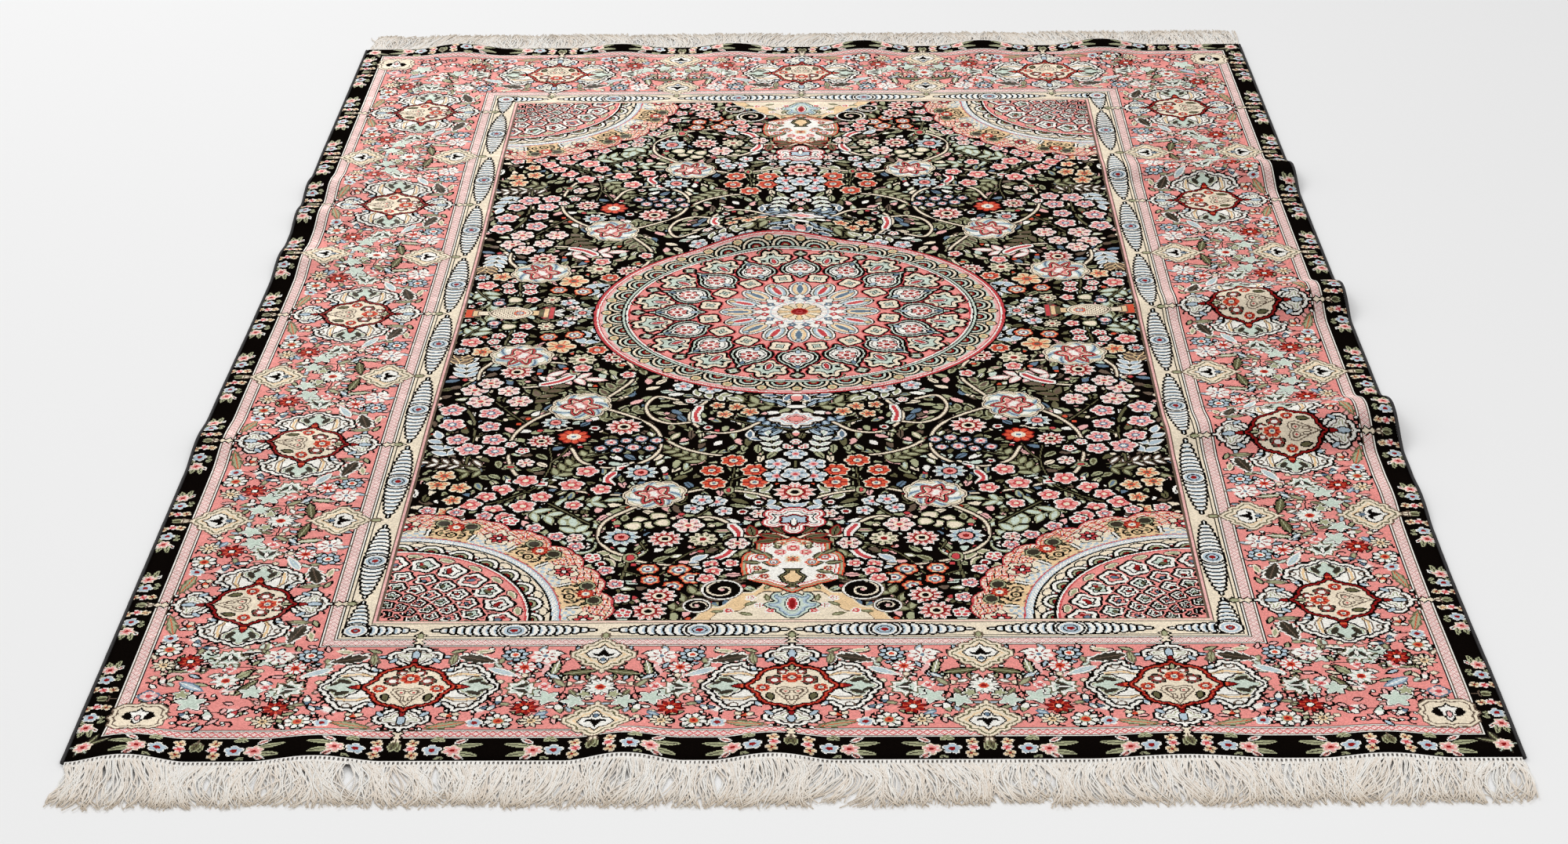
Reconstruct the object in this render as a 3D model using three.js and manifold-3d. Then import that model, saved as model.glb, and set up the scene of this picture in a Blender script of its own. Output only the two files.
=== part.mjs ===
// Oriental silk rug lying on a floor: one wavy pile cloth, two overcast selvedges
// and a fringe at each short end. Millimetres, +Z up, the near end towards -Y,
// origin on the floor under the middle of the rug.

import * as THREE from 'three';
import Module from 'manifold-3d';

// Driving dimensions of the rug
const RUG_WIDTH = 1220; // over both selvedges
const CLOTH_LENGTH = 1880; // between the two knotted end lines
const CLOTH_THICKNESS = 5; // knots and pile together
const SELVEDGE_SIZE = 4; // width and height of the overcast edge
const SELVEDGE_FLAT = 0.6; // share of the width that is flat on top and underneath
const SEAM_GAP = 0.3; // between pieces that are sewn to each other

// Driving dimensions of a fringe
const END_STRIP_DEPTH = 5; // knotted line that holds the roots
const END_STRIP_HEIGHT = 3;
const FRINGE_REACH = 75; // from the cloth's edge to the longest tip
const FRINGE_LOCKS = 148; // at each end
const LOCK_ROOT_WIDTH = 4.4;
const LOCK_TIP_WIDTH = 3;
const LOCK_HEIGHT = 2.4;
const LOCK_ROOT_DEPTH = 3; // how far a lock reaches into its strip
const LOCK_SHORTER = 11; // the most that a lock falls short of the longest
const LOCK_SWAY = 11; // the most that a tip lies to one side of its root
const LOCK_BEND = { reach: 0.4, sway: 0.3 }; // where a lock has come down to the floor, as shares of its tip
const SWAY_WAVES = [
  { share: 0.6, length: 610, start: 0.8 },
  { share: 0.4, length: 270, start: 2.1 },
];

// Stations of the cloth's surface
const STEPS_ACROSS = 32;
const STEPS_ALONG = 44;

// Waves of the lying cloth: centre, height of the crest, half sizes and turn in degrees
const WAVES = [
  { name: 'right side, far', x: 610, y: 420, high: 14, across: 330, along: 62, turn: -6 },
  { name: 'right side, middle', x: 610, y: 29, high: 17, across: 300, along: 66, turn: 5 },
  { name: 'right side, near', x: 610, y: -291, high: 21, across: 320, along: 74, turn: 8 },
  { name: 'right side, nearest', x: 610, y: -470, high: 4, across: 160, along: 60, turn: 0 },
  { name: 'left side, far', x: -610, y: 395, high: 7, across: 190, along: 56, turn: 6 },
  { name: 'left side, second', x: -610, y: 300, high: 7, across: 170, along: 52, turn: 0 },
  { name: 'left side, third', x: -610, y: 160, high: 7, across: 210, along: 60, turn: -5 },
  { name: 'left side, near', x: -610, y: -330, high: 4, across: 180, along: 64, turn: 0 },
  { name: 'middle, beyond the medallion', x: -40, y: 235, high: 11, across: 120, along: 75, turn: 12 },
  { name: 'far end, first', x: -474, y: 940, high: 8, across: 66, along: 75, turn: 0 },
  { name: 'far end, second', x: -252, y: 940, high: 6, across: 66, along: 80, turn: 0 },
  { name: 'far end, third', x: -96, y: 940, high: 6, across: 62, along: 70, turn: 0 },
  { name: 'far end, fourth', x: 85, y: 940, high: 9, across: 66, along: 85, turn: 0 },
  { name: 'far end, fifth', x: 249, y: 940, high: 8, across: 62, along: 80, turn: 0 },
  { name: 'far end, sixth', x: 413, y: 940, high: 9, across: 70, along: 85, turn: 0 },
  { name: 'near end, first', x: -556, y: -940, high: 8, across: 52, along: 80, turn: 0 },
  { name: 'near end, second', x: -397, y: -940, high: 6, across: 56, along: 70, turn: 0 },
  { name: 'near end, third', x: -139, y: -940, high: 8, across: 50, along: 75, turn: 0 },
  { name: 'near end, fourth', x: -15, y: -940, high: 7, across: 52, along: 80, turn: 0 },
  { name: 'near end, fifth', x: 328, y: -940, high: 4, across: 80, along: 90, turn: 0 },
  { name: 'near end, sixth', x: 495, y: -940, high: 5, across: 56, along: 80, turn: 0 },
];

// Sideways bows of the long edges: place along the edge, half length, amount towards +X
const BOWS = [
  { side: -1, y: 120, reach: 420, shift: 4 },
  { side: 1, y: -620, reach: 240, shift: -2 },
];

const clothEdge = RUG_WIDTH / 2 - SELVEDGE_SIZE - SEAM_GAP;
const clothEnd = CLOTH_LENGTH / 2;
const stripInner = clothEnd + SEAM_GAP;
const stripOuter = stripInner + END_STRIP_DEPTH;

// A rounded hill that is 1 at its middle and level with the floor from distance 1 on
function hill(distance) {
  return distance < 1 ? (1 - distance * distance) ** 2 : 0;
}

// Height of the cloth's underside over the floor
function lift(x, y) {
  let height = 0;
  for (const wave of WAVES) {
    const angle = THREE.MathUtils.degToRad(wave.turn);
    const dx = x - wave.x;
    const dy = y - wave.y;
    const u = (dx * Math.cos(angle) + dy * Math.sin(angle)) / wave.across;
    const v = (dy * Math.cos(angle) - dx * Math.sin(angle)) / wave.along;
    height += wave.high * hill(Math.hypot(u, v));
  }
  return height;
}

// Sideways shift of the cloth at a place, from the bows of its two long edges
function shift(x, y) {
  let sum = 0;
  for (const bow of BOWS) {
    const nearness = 0.5 + (0.5 * bow.side * x) / (RUG_WIDTH / 2);
    sum += bow.shift * hill(Math.abs(y - bow.y) / bow.reach) * THREE.MathUtils.clamp(nearness, 0, 1);
  }
  return sum;
}

// A place on the lying cloth, from its flat position and its height above the underside
function place(x, y, above) {
  return new THREE.Vector3(x + shift(x, y), y, lift(x, y) + above);
}

function stations(from, to, steps) {
  return Array.from({ length: steps + 1 }, (_, i) => THREE.MathUtils.lerp(from, to, i / steps));
}

function geometryOf(points, triangles) {
  const geometry = new THREE.BufferGeometry();
  geometry.setAttribute('position', new THREE.Float32BufferAttribute(points.flatMap((p) => p.toArray()), 3));
  geometry.setIndex(triangles);
  return geometry;
}

// A closed body through rings of equally many points, with a flat cap at each end.
// Seen against the direction of travel, a ring runs counter-clockwise.
function loft(rings) {
  const size = rings[0].length;
  const triangles = [];
  for (let r = 0; r + 1 < rings.length; r++) {
    for (let k = 0; k < size; k++) {
      const a = r * size + k;
      const b = r * size + ((k + 1) % size);
      triangles.push(a, b, b + size, a, b + size, a + size);
    }
  }
  const last = (rings.length - 1) * size;
  for (let k = 1; k + 1 < size; k++) {
    triangles.push(0, k + 1, k);
    triangles.push(last, last + k, last + k + 1);
  }
  return geometryOf(rings.flat(), triangles);
}

// The pile cloth: one slab of even thickness whose two faces follow the waves
function clothGeometry() {
  const xs = stations(-clothEdge, clothEdge, STEPS_ACROSS);
  const ys = stations(-clothEnd, clothEnd, STEPS_ALONG);
  const row = xs.length;
  const layer = row * ys.length;
  const points = [];
  for (const above of [0, CLOTH_THICKNESS]) {
    for (const y of ys) {
      for (const x of xs) points.push(place(x, y, above));
    }
  }
  const triangles = [];
  const quad = (a, b, c, d) => triangles.push(a, b, c, a, c, d);
  for (let j = 0; j < STEPS_ALONG; j++) {
    for (let i = 0; i < STEPS_ACROSS; i++) {
      const a = j * row + i;
      quad(a, a + row, a + row + 1, a + 1);
      quad(layer + a, layer + a + 1, layer + a + row + 1, layer + a + row);
    }
  }
  const rim = [];
  for (let i = 0; i < STEPS_ACROSS; i++) rim.push(i);
  for (let j = 0; j < STEPS_ALONG; j++) rim.push(j * row + STEPS_ACROSS);
  for (let i = STEPS_ACROSS; i > 0; i--) rim.push(STEPS_ALONG * row + i);
  for (let j = STEPS_ALONG; j > 0; j--) rim.push(j * row);
  rim.forEach((a, k) => {
    const b = rim[(k + 1) % rim.length];
    quad(a, b, layer + b, layer + a);
  });
  return geometryOf(points, triangles);
}

// An overcast edge: a six-sided cord beside the cloth, flat underneath
function selvedgeGeometry(side) {
  const middle = side * (RUG_WIDTH / 2 - SELVEDGE_SIZE / 2);
  const half = SELVEDGE_SIZE / 2;
  const flat = half * SELVEDGE_FLAT;
  const section = [
    [-flat, 0],
    [-half, half],
    [-flat, SELVEDGE_SIZE],
    [flat, SELVEDGE_SIZE],
    [half, half],
    [flat, 0],
  ];
  const edge = side * clothEdge;
  return loft(
    stations(-clothEnd, clothEnd, STEPS_ALONG).map((y) =>
      section.map(([dx, dz]) => new THREE.Vector3(middle + dx + shift(edge, y), y, lift(edge, y) + dz)),
    ),
  );
}

// Even noise between 0 and 1 for a numbered lock
function noise(number, seed) {
  const wave = Math.sin(number * 12.9898 + seed * 78.233) * 43758.5453;
  return wave - Math.floor(wave);
}

// Sideways drift of a lock's tip, alike for neighbours so that locks stay apart
function sway(x, end) {
  return SWAY_WAVES.reduce(
    (sum, wave) => sum + LOCK_SWAY * wave.share * Math.sin((2 * Math.PI * x) / wave.length + wave.start * end),
    0,
  );
}

// The knotted end line: a flat strip just past the cloth's edge
function stripGeometry(end) {
  const section = [
    [stripInner, 0],
    [stripOuter, 0],
    [stripOuter, END_STRIP_HEIGHT],
    [stripInner, END_STRIP_HEIGHT],
  ];
  const xs = stations(-clothEdge, clothEdge, STEPS_ACROSS);
  const rings = xs.map((x) =>
    section.map(([y, dz]) => {
      const at = place(x, end * clothEnd, dz);
      return new THREE.Vector3(at.x, end * y, at.z);
    }),
  );
  return loft(end > 0 ? rings : rings.map((ring) => ring.reverse()));
}

// One three-sided lock: from inside the strip down to the floor, and out to its tip
function lockGeometry(x, number, end) {
  const root = place(x, end * clothEnd, 0);
  const reach = FRINGE_REACH - LOCK_SHORTER * noise(number, end);
  const drift = sway(x, end) * (1 - Math.abs(x) / RUG_WIDTH);
  const path = [
    { out: stripOuter - clothEnd - LOCK_ROOT_DEPTH, side: 0, floor: root.z, width: LOCK_ROOT_WIDTH },
    { out: reach * LOCK_BEND.reach, side: drift * LOCK_BEND.sway, floor: 0, width: LOCK_ROOT_WIDTH },
    { out: reach, side: drift, floor: 0, width: LOCK_TIP_WIDTH },
  ];
  const rings = path.map(({ out, side, floor, width }) => {
    const y = end * (clothEnd + out);
    return [
      new THREE.Vector3(root.x + side - width / 2, y, floor),
      new THREE.Vector3(root.x + side, y, floor + LOCK_HEIGHT),
      new THREE.Vector3(root.x + side + width / 2, y, floor),
    ];
  });
  return loft(end > 0 ? rings : rings.map((ring) => ring.reverse()));
}

const wasm = await Module();
wasm.setup();

function solidOf(geometry) {
  return new wasm.Manifold(
    new wasm.Mesh({
      numProp: 3,
      vertProperties: new Float32Array(geometry.attributes.position.array),
      triVerts: new Uint32Array(geometry.index.array),
    }),
  );
}

// A fringe: its end strip and its locks, joined into one body
function fringeGeometry(end) {
  const pitch = (2 * clothEdge) / FRINGE_LOCKS;
  let joined = solidOf(stripGeometry(end));
  for (let number = 0; number < FRINGE_LOCKS; number++) {
    const x = -clothEdge + pitch * (number + 0.5);
    joined = joined.add(solidOf(lockGeometry(x, number, end)));
  }
  const mesh = joined.getMesh();
  const geometry = new THREE.BufferGeometry();
  geometry.setAttribute('position', new THREE.Float32BufferAttribute(mesh.vertProperties, mesh.numProp));
  geometry.setIndex(Array.from(mesh.triVerts));
  return geometry;
}

function piece(name, geometry, color, roughness) {
  geometry.computeVertexNormals();
  const mesh = new THREE.Mesh(geometry, new THREE.MeshStandardMaterial({ color, roughness, metalness: 0 }));
  mesh.name = name;
  return mesh;
}

const rug = new THREE.Group();
rug.add(
  piece('rug', clothGeometry(), 0xc77f7c, 0.6),
  piece('selvedge_left', selvedgeGeometry(-1), 0x17161a, 0.7),
  piece('selvedge_right', selvedgeGeometry(1), 0x17161a, 0.7),
  piece('fringe_near', fringeGeometry(-1), 0xd6cec0, 0.8),
  piece('fringe_far', fringeGeometry(1), 0xd6cec0, 0.8),
);

export default rug;
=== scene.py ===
"""An oriental silk rug on a pale floor: a wavy pile cloth knotted from a chart of colour numbers,
two overcast edges and a fringe of loose yarns at each short end. The chart is painted by functions, one
quarter of the rug mirrored four ways, and each face of the cloth carries six by six knots of it."""

import math

import bpy
import numpy as np
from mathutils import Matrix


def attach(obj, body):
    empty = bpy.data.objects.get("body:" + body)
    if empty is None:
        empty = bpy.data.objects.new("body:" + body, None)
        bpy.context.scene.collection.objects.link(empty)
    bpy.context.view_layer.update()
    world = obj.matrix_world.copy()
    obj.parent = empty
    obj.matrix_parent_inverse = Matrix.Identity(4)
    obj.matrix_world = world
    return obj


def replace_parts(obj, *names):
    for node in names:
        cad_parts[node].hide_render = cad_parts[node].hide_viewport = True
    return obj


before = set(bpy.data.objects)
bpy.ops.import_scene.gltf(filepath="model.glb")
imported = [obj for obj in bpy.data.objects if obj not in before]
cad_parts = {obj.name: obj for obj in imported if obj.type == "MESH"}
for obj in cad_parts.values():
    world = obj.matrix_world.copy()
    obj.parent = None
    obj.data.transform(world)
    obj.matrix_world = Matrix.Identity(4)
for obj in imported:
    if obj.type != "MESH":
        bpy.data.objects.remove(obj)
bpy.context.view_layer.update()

MM = 0.001


# Colours of the dyed silk, in the order of their numbers in the chart
(BLACK, WHITE, CREAM, PEACH, PINK, ROSE, RED, SKY,
 SLATE, MINT, SAGE, OLIVE, TAUPE, MAUVE, ORANGE, MOSS) = range(16)

# Half the pile cloth and its thickness in mm, and the knots that the faces of half the cloth carry
CLOTH = dict(side=605.7, end=940.0, thick=5.0)
KNOTS = dict(per_face=6, faces_across=168, faces_along=262)

# The borders of a long side and of a short end: where each ends, in mm from the rug's edge
SIDE = dict(guard=27, stripe=43, main=188, inner=204, band=231, field=236)
END = dict(guard=31, stripe=47, main=188, inner=204, band=231, field=236)
# The rug's middle, and the axes of the border's large cartouches with half the way to the next axis
MIDDLE = (610, 940)
SIDE_AXES = (268, 604, 940)
END_AXES = (277.5, 610)
HALF_CELL_SIDE = 168
HALF_CELL_END = 166
STRIPE_WIDTH = 16
MAIN_WIDTH = END["main"] - END["stripe"]
# A plain run, whose distances across are simply mm from the rug's edge
PLAIN = dict(stripe=0, main=MAIN_WIDTH)


def heading(degrees):
    """Cosine and sine of a direction."""
    return np.cos(np.radians(degrees)), np.sin(np.radians(degrees))


class Spot:
    """The knots near one place: u and v are their distances from it in mm, r and a the same as a circle's."""

    def __init__(self, ink, u, v):
        self.ink, self.u, self.v = ink, u, v
        self.r, self.a = np.hypot(u, v), np.arctan2(v, u)

    def fill(self, where, colour):
        self.ink[where] = colour

    def oval(self, u, v, long, wide, *coats, turn=0.0):
        """Fills an oval at (u, v), of half sizes long and wide, one coat inside the other."""
        cos, sin = heading(turn)
        p, q = self.u - u, self.v - v
        p, q = p * cos + q * sin, q * cos - p * sin
        for inset, colour in coats:
            self.fill(np.hypot(p / max(long - inset, 0.1), q / max(wide - inset, 0.1)) < 1, colour)

    def discs(self, *coats):
        """Fills discs round the place, each coat out to a radius of its own."""
        for limit, colour in coats:
            self.fill(self.r < limit, colour)

    def rings(self, rim, *coats):
        """Fills a disc with an uneven rim: each coat starts at its own distance inside the rim."""
        for inset, colour in coats:
            self.fill(self.r < rim - inset, colour)

    def between(self, low, high):
        """The knots whose distance from the place lies between two radii."""
        return (self.r > low) & (self.r < high)

    def shape(self, outline, *coats):
        """Fills a closed outline: each coat starts at its own distance inside the edge."""
        gap = np.full(self.u.shape, 1e9)
        inside = np.zeros(self.u.shape, bool)
        for (ax, ay), (dx, dy) in zip(outline, np.roll(outline, -1, axis=0) - outline):
            p, q = self.u - ax, self.v - ay
            t = np.clip((p * dx + q * dy) / max(dx * dx + dy * dy, 1e-9), 0, 1)
            gap = np.minimum(gap, (p - t * dx) ** 2 + (q - t * dy) ** 2)
            inside ^= ((q < 0) != (q < dy)) & (p < q * dx / (dy if dy else 1e-9))
        deep = np.where(inside, np.sqrt(gap), -1)
        for inset, colour in coats:
            self.fill(deep >= inset, colour)


class Chart:
    """The colour numbers of a quarter of the rug, painted from the ground up: one for each knot."""

    def __init__(self):
        columns, rows = (KNOTS["per_face"] * KNOTS[way] // 2 for way in ("faces_across", "faces_along"))
        self.column, self.row = CLOTH["side"] / columns, CLOTH["end"] / rows
        self.first = MIDDLE[0] - CLOTH["side"]
        self.x = self.first + (np.arange(columns) + 0.5) * self.column
        self.y = (np.arange(rows) + 0.5) * self.row
        self.ink = np.full((rows, columns), BLACK, np.int32)

    def everywhere(self):
        return Spot(self.ink, self.x[None, :] + 0 * self.y[:, None], self.y[:, None] + 0 * self.x[None, :])

    def at(self, x, y, reach, along=(1, 0), across=(0, 1)):
        """The knots within reach of a place, measured in two directions of its own."""
        c0, c1 = (int(np.clip((x + s * reach - self.first) / self.column, 0, len(self.x))) for s in (-1, 1))
        r0, r1 = (int(np.clip((y + s * reach) / self.row, 0, len(self.y))) for s in (-1, 1))
        dx, dy = self.x[None, c0:c1] - x, self.y[r0:r1, None] - y
        return Spot(self.ink[r0:r1, c0:c1], dx * along[0] + dy * along[1], dx * across[0] + dy * across[1])

    def dots(self, x, y, colour, width):
        """Colours the knots under a row of points, as wide as a thread."""
        count = max(1, round(width / self.row))
        steps = np.arange(count) - (count - 1) / 2
        for dc in steps:
            for dr in steps:
                c = np.round((x - self.first) / self.column - 0.5 + dc).astype(int)
                r = np.round(y / self.row - 0.5 + dr).astype(int)
                seen = (c >= 0) & (c < len(self.x)) & (r >= 0) & (r < len(self.y))
                self.ink[r[seen], c[seen]] = colour


class Run:
    """A stretch of border: a runs along it from an axis, c inwards from the main border's outer edge."""

    def __init__(self, chart, axis, sign, widths, upright):
        self.chart, self.axis, self.sign, self.upright = chart, axis, sign, upright
        self.edge = widths["stripe"]
        self.scale = (widths["main"] - widths["stripe"]) / MAIN_WIDTH

    def place(self, a, c):
        a, c = self.axis + self.sign * np.asarray(a), self.edge + self.scale * np.asarray(c)
        return (c, a) if self.upright else (a, c)

    def at(self, a, c, reach, turn=0.0):
        cos, sin = heading(turn)
        along = np.array((0, self.sign) if self.upright else (self.sign, 0))
        across = np.array((1, 0) if self.upright else (0, 1))
        x, y = self.place(a, c)
        return self.chart.at(x, y, reach, cos * along + sin * across, cos * across - sin * along)

    def thread(self, points, colour, width=1.0):
        a, c = bent(points)
        x, y = self.place(a, c)
        self.chart.dots(x, y, colour, width)


class Quarter(Run):
    """The open field: a and c are simply the distances from the rug's two edges."""

    def __init__(self, chart):
        super().__init__(chart, 0, 1, PLAIN, False)


def bent(points):
    """A smooth line through a few points: each stretch is a cubic that leaves along its neighbours' line."""
    p = np.array(points, float)
    p = np.vstack([2 * p[0] - p[1], p, 2 * p[-1] - p[-2]])
    t = np.linspace(0, 1, 60)[:, None]
    pieces = []
    for a, b, c, d in zip(p[:-3], p[1:-2], p[2:-1], p[3:]):
        pieces.append(0.5 * (2 * b + (c - a) * t + (2 * a - 5 * b + 4 * c - d) * t**2
                             + (3 * b - a - 3 * c + d) * t**3))
    return np.vstack(pieces).T


def mirrored(half):
    """A closed outline from its right half, listed from the top down."""
    half = np.array(half, float)
    other = half[::-1] * (-1, 1)
    return np.vstack([half, other[np.abs(other[:, 0]) > 1e-6]])


def lobed(outline, swell=0.16):
    """The same outline with each stretch between two points bulging outwards, so that cusps part them."""
    along = np.roll(outline, -1, axis=0) - outline
    across = np.stack([-along[:, 1], along[:, 0]], 1)
    t = np.linspace(0, 1, 5)[:-1, None, None]
    points = outline + along * t + across * swell * 4 * t * (1 - t)
    return points.transpose(1, 0, 2).reshape(-1, 2)


def fourfold(quarter):
    """A closed outline from the quarter between its top and its right-hand tip."""
    quarter = np.array(quarter, float)
    return mirrored(np.vstack([quarter, quarter[-2::-1] * (1, -1)]))


# Flowers: petals, how far the gaps between them cut in, 1 for pointed petals, the colours of the edge, the
# petals, the lines between them and their veins, then the rings of the heart as shares of the radius
BLOOMS = {
    "white rosette": (8, 0.25, 0, BLACK, WHITE, BLACK, None, (0.4, SAGE), (0.3, ORANGE), (0.14, RED)),
    "sky daisy": (8, 0.22, 0, BLACK, SKY, BLACK, None, (0.5, BLACK), (0.36, WHITE), (0.2, ORANGE)),
    "red star": (8, 0.3, 0, WHITE, WHITE, RED, None, (0.3, WHITE), (0.16, SLATE)),
    "white daisy": (9, 0.2, 0, BLACK, WHITE, ROSE, None, (0.34, ORANGE), (0.18, RED)),
    "lily": (8, 0.45, 1, BLACK, WHITE, MINT, None, (0.28, ORANGE), (0.16, RED)),
    "carnation": (8, 0.4, 1, BLACK, RED, ORANGE, None, (0.3, BLACK), (0.2, WHITE)),
    "cream daisy": (9, 0.35, 1, BLACK, CREAM, BLACK, None, (0.3, PEACH), (0.16, TAUPE)),
    "sky flower": (5, 0.3, 0, WHITE, SKY, SKY, None, (0.34, RED)),
    "rose": (6, 0.25, 0, CREAM, MAUVE, WHITE, None, (0.5, PINK), (0.25, RED)),
    "orange four": (4, 0.35, 0, CREAM, PEACH, TAUPE, None, (0.25, RED)),
    "pink four": (4, 0.35, 0, WHITE, MAUVE, ROSE, None, (0.3, ROSE)),
    "scarlet": (7, 0.25, 0, CREAM, ORANGE, RED, None, (0.42, RED), (0.3, CREAM), (0.16, SLATE)),
    "mauve": (5, 0.3, 0, WHITE, MAUVE, ROSE, ROSE, (0.34, SLATE), (0.18, WHITE)),
    "pink": (5, 0.3, 0, WHITE, PINK, ROSE, MAUVE, (0.42, ROSE), (0.24, CREAM)),
    "blue": (5, 0.25, 0, WHITE, SKY, BLACK, WHITE, (0.34, MAUVE), (0.18, ROSE)),
    "pale": (6, 0.25, 0, WHITE, MAUVE, BLACK, WHITE, (0.36, CREAM), (0.2, ROSE)),
    "aster": (11, 0.3, 1, WHITE, PINK, RED, WHITE, (0.5, RED), (0.36, CREAM), (0.2, BLACK)),
    "straw": (9, 0.25, 1, CREAM, SAGE, MOSS, CREAM, (0.45, CREAM), (0.24, RED)),
    "ruby": (9, 0.22, 0, RED, ORANGE, RED, None, (0.42, CREAM), (0.24, WHITE), (0.14, SLATE)),
    "cornflower": (10, 0.35, 1, WHITE, SKY, SLATE, MINT, (0.48, BLACK), (0.38, PINK), (0.18, RED)),
    "apricot": (5, 0.35, 0, CREAM, PEACH, TAUPE, ORANGE, (0.34, ORANGE), (0.18, TAUPE)),
    "plum": (4, 0.2, 0, SLATE, MAUVE, WHITE, None, (0.3, ROSE)),
    "button": (5, 0.2, 0, BLACK, WHITE, WHITE, None, (0.45, RED)),
    "ivory": (3, 0.2, 1, SAGE, CREAM, CREAM, None),
    "orange blue": (6, 0.2, 0, ORANGE, PEACH, ORANGE, None, (0.6, SLATE), (0.4, WHITE), (0.2, RED)),
    "rosy": (5, 0.25, 0, WHITE, ROSE, WHITE, None, (0.3, WHITE), (0.16, SAGE)),
    "rosy dark": (7, 0.35, 1, BLACK, ROSE, BLACK, None, (0.35, BLACK), (0.2, WHITE)),
    "brown": (5, 0.2, 0, BLACK, TAUPE, RED, None, (0.5, RED), (0.36, WHITE)),
    "white four": (4, 0.4, 0, TAUPE, WHITE, WHITE, None, (0.3, SAGE)),
    "mint four": (4, 0.5, 1, TAUPE, MINT, MINT, None, (0.3, SAGE)),
    "medallion flower": (7, 0.3, 0, BLACK, PINK, WHITE, RED, (0.42, WHITE), (0.26, RED)),
}


def bloom(spot, kind, r, turn=0.0, edge=1.9):
    """A flower: petals are a wave round the circle, parted by short lines, over rings for its heart."""
    petals, dip, point, edge_dye, petal_dye, cut_dye, vein_dye, *heart = BLOOMS[kind]
    phase = petals * (spot.a - np.radians(turn)) / (2 * np.pi)
    off = np.abs((phase + 0.5) % 1 - 0.5) * 2
    rim = r * (1 - dip * (off if point else 1 - np.cos(off * np.pi / 2)))
    spot.rings(rim, (0, edge_dye), (edge, petal_dye))
    if vein_dye is not None:
        spot.fill((off * np.pi * spot.r / petals < 0.8) & spot.between(0.4 * r, rim - 3), vein_dye)
    spot.fill(((1 - off) * np.pi * spot.r / petals < 0.8) & spot.between(0.3 * r, rim - 0.3), cut_dye)
    spot.discs(*((max(share * r, 0.9), colour) for share, colour in heart))


def leaf(spot, length, width, fill, edge=BLACK, rib=None, teeth=0, rim=1.9):
    """A leaf from its stalk at 0 to its tip: a swelling to both sides, with saw teeth if asked for."""
    t = np.clip(spot.u / length, 0, 1)
    half = width / 2 * np.sin(np.pi * t**0.8) ** 0.75
    if teeth:
        half = half * (1 - 0.3 * ((t * teeth) % 1))
    near = (spot.u > 0) & (spot.u < length)
    spot.fill(near & (np.abs(spot.v) < half), edge)
    spot.fill(near & (np.abs(spot.v) < half - rim) & (t > 0.06) & (t < 0.94), fill)
    if rib is not None:
        spot.fill(near & (np.abs(spot.v) < 0.6) & (t < 0.85) & (half > 1.5), rib)


def bud(spot, length, width, fill, tip=None):
    """A pear-shaped bud from its stalk at 0, outlined, with a darker tip if asked for."""
    t = np.clip(spot.u / length, 0, 1)
    half = width / 2 * np.sin(np.pi * t) ** 0.6 * (1.2 - 0.5 * t)
    near = (spot.u > 0) & (spot.u < length)
    spot.fill(near & (np.abs(spot.v) < half), BLACK)
    spot.fill(near & (np.abs(spot.v) < half - 1.7) & (t > 0.1) & (t < 0.92), fill)
    if tip is not None:
        spot.fill(near & (np.abs(spot.v) < half - 1.4) & (t > 0.55) & (t < 0.94), tip)


def maple(spot, size, fill, edge=WHITE):
    """A leaf of five pointed lobes round its stalk."""
    off = np.abs((spot.a / (2 * np.pi) * 5 + 0.5) % 1 - 0.5) * 2
    spot.rings(size * (1 - 0.5 * off), (-1.4, BLACK), (0, edge), (1.4, fill))


def lay_bands(chart):
    """Paints the nested bands: the nearer edge counts, with the end's distances squeezed onto the side's."""
    whole = chart.everywhere()
    side = np.interp(whole.u, [0, *SIDE.values(), MIDDLE[0]], [0, *END.values(), MIDDLE[1]])
    deep = np.minimum(side, whole.v)
    for border, colour in (("field", CREAM), ("main", PINK), ("stripe", CREAM), ("guard", BLACK)):
        whole.fill(deep < END[border], colour)
    column, row = np.meshgrid(np.arange(len(chart.x)), np.arange(len(chart.y)))
    step = np.where(side < whole.v, row, column) % 6
    for edge in (END["guard"], END["main"]):
        level = np.abs(np.round((deep - edge - STRIPE_WIDTH / 2) / chart.row))
        for steps, colour in ((6, BLACK), (5, WHITE), (4, TAUPE), (3, WHITE)):
            whole.fill(level <= steps, colour)
        whole.fill((level <= 3) & ((row + column) % 2 == 0), MAUVE)
        whole.fill(level == np.abs(step - 3), ROSE)
    lines = ((END["band"] - 1.2, 1.3, TAUPE), (END["band"] + 0.8, 1.8, MAUVE),
             (END["field"] - 1.6, 1.4, TAUPE), (END["inner"] + 1.8, 1.3, MOSS))
    for start, width, colour in lines:
        whole.fill((deep >= start) & (deep < start + width), colour)


# Outlines of the border's figures in mm: a quarter or a right half, from the top down
CARTOUCHE = fourfold([(0, 77), (4, 71), (11, 69), (15, 64), (23, 61), (26, 54), (24, 47), (18, 42),
                      (12, 37), (16, 32), (24, 30), (33, 32), (38, 37), (42, 44), (49, 41), (56, 40),
                      (62, 35), (65, 29), (70, 24), (71, 16), (76, 9), (80, 0)])
OGEE = fourfold([(0, 38), (5, 33), (11, 30), (19, 28), (25, 24), (29, 18), (31, 12), (35, 7), (40, 0)])
LOBE_LEAF = mirrored([(0, 19), (6, 13), (11, 11), (17, 6), (11, -4), (5, -10), (0, -14)])
SHIELD = mirrored([(0, 17), (5, 11), (11, 9), (19, 8), (20, 2), (12, -3), (6, -10), (0, -15)])
VASE = mirrored([(0, -4), (6, -1), (13, -3), (15, -10), (9, -19), (4, -27), (0, -35)])
SMALL_CARTOUCHE = fourfold([(0, 34), (3, 28), (7, 25), (11, 20), (18, 18), (20, 12), (25, 8), (30, 0)])
LILY = mirrored([(0, 17), (4, 11), (9, 10), (15, 2), (11, -5), (5, -6), (4, -11), (0, -16)])
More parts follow.
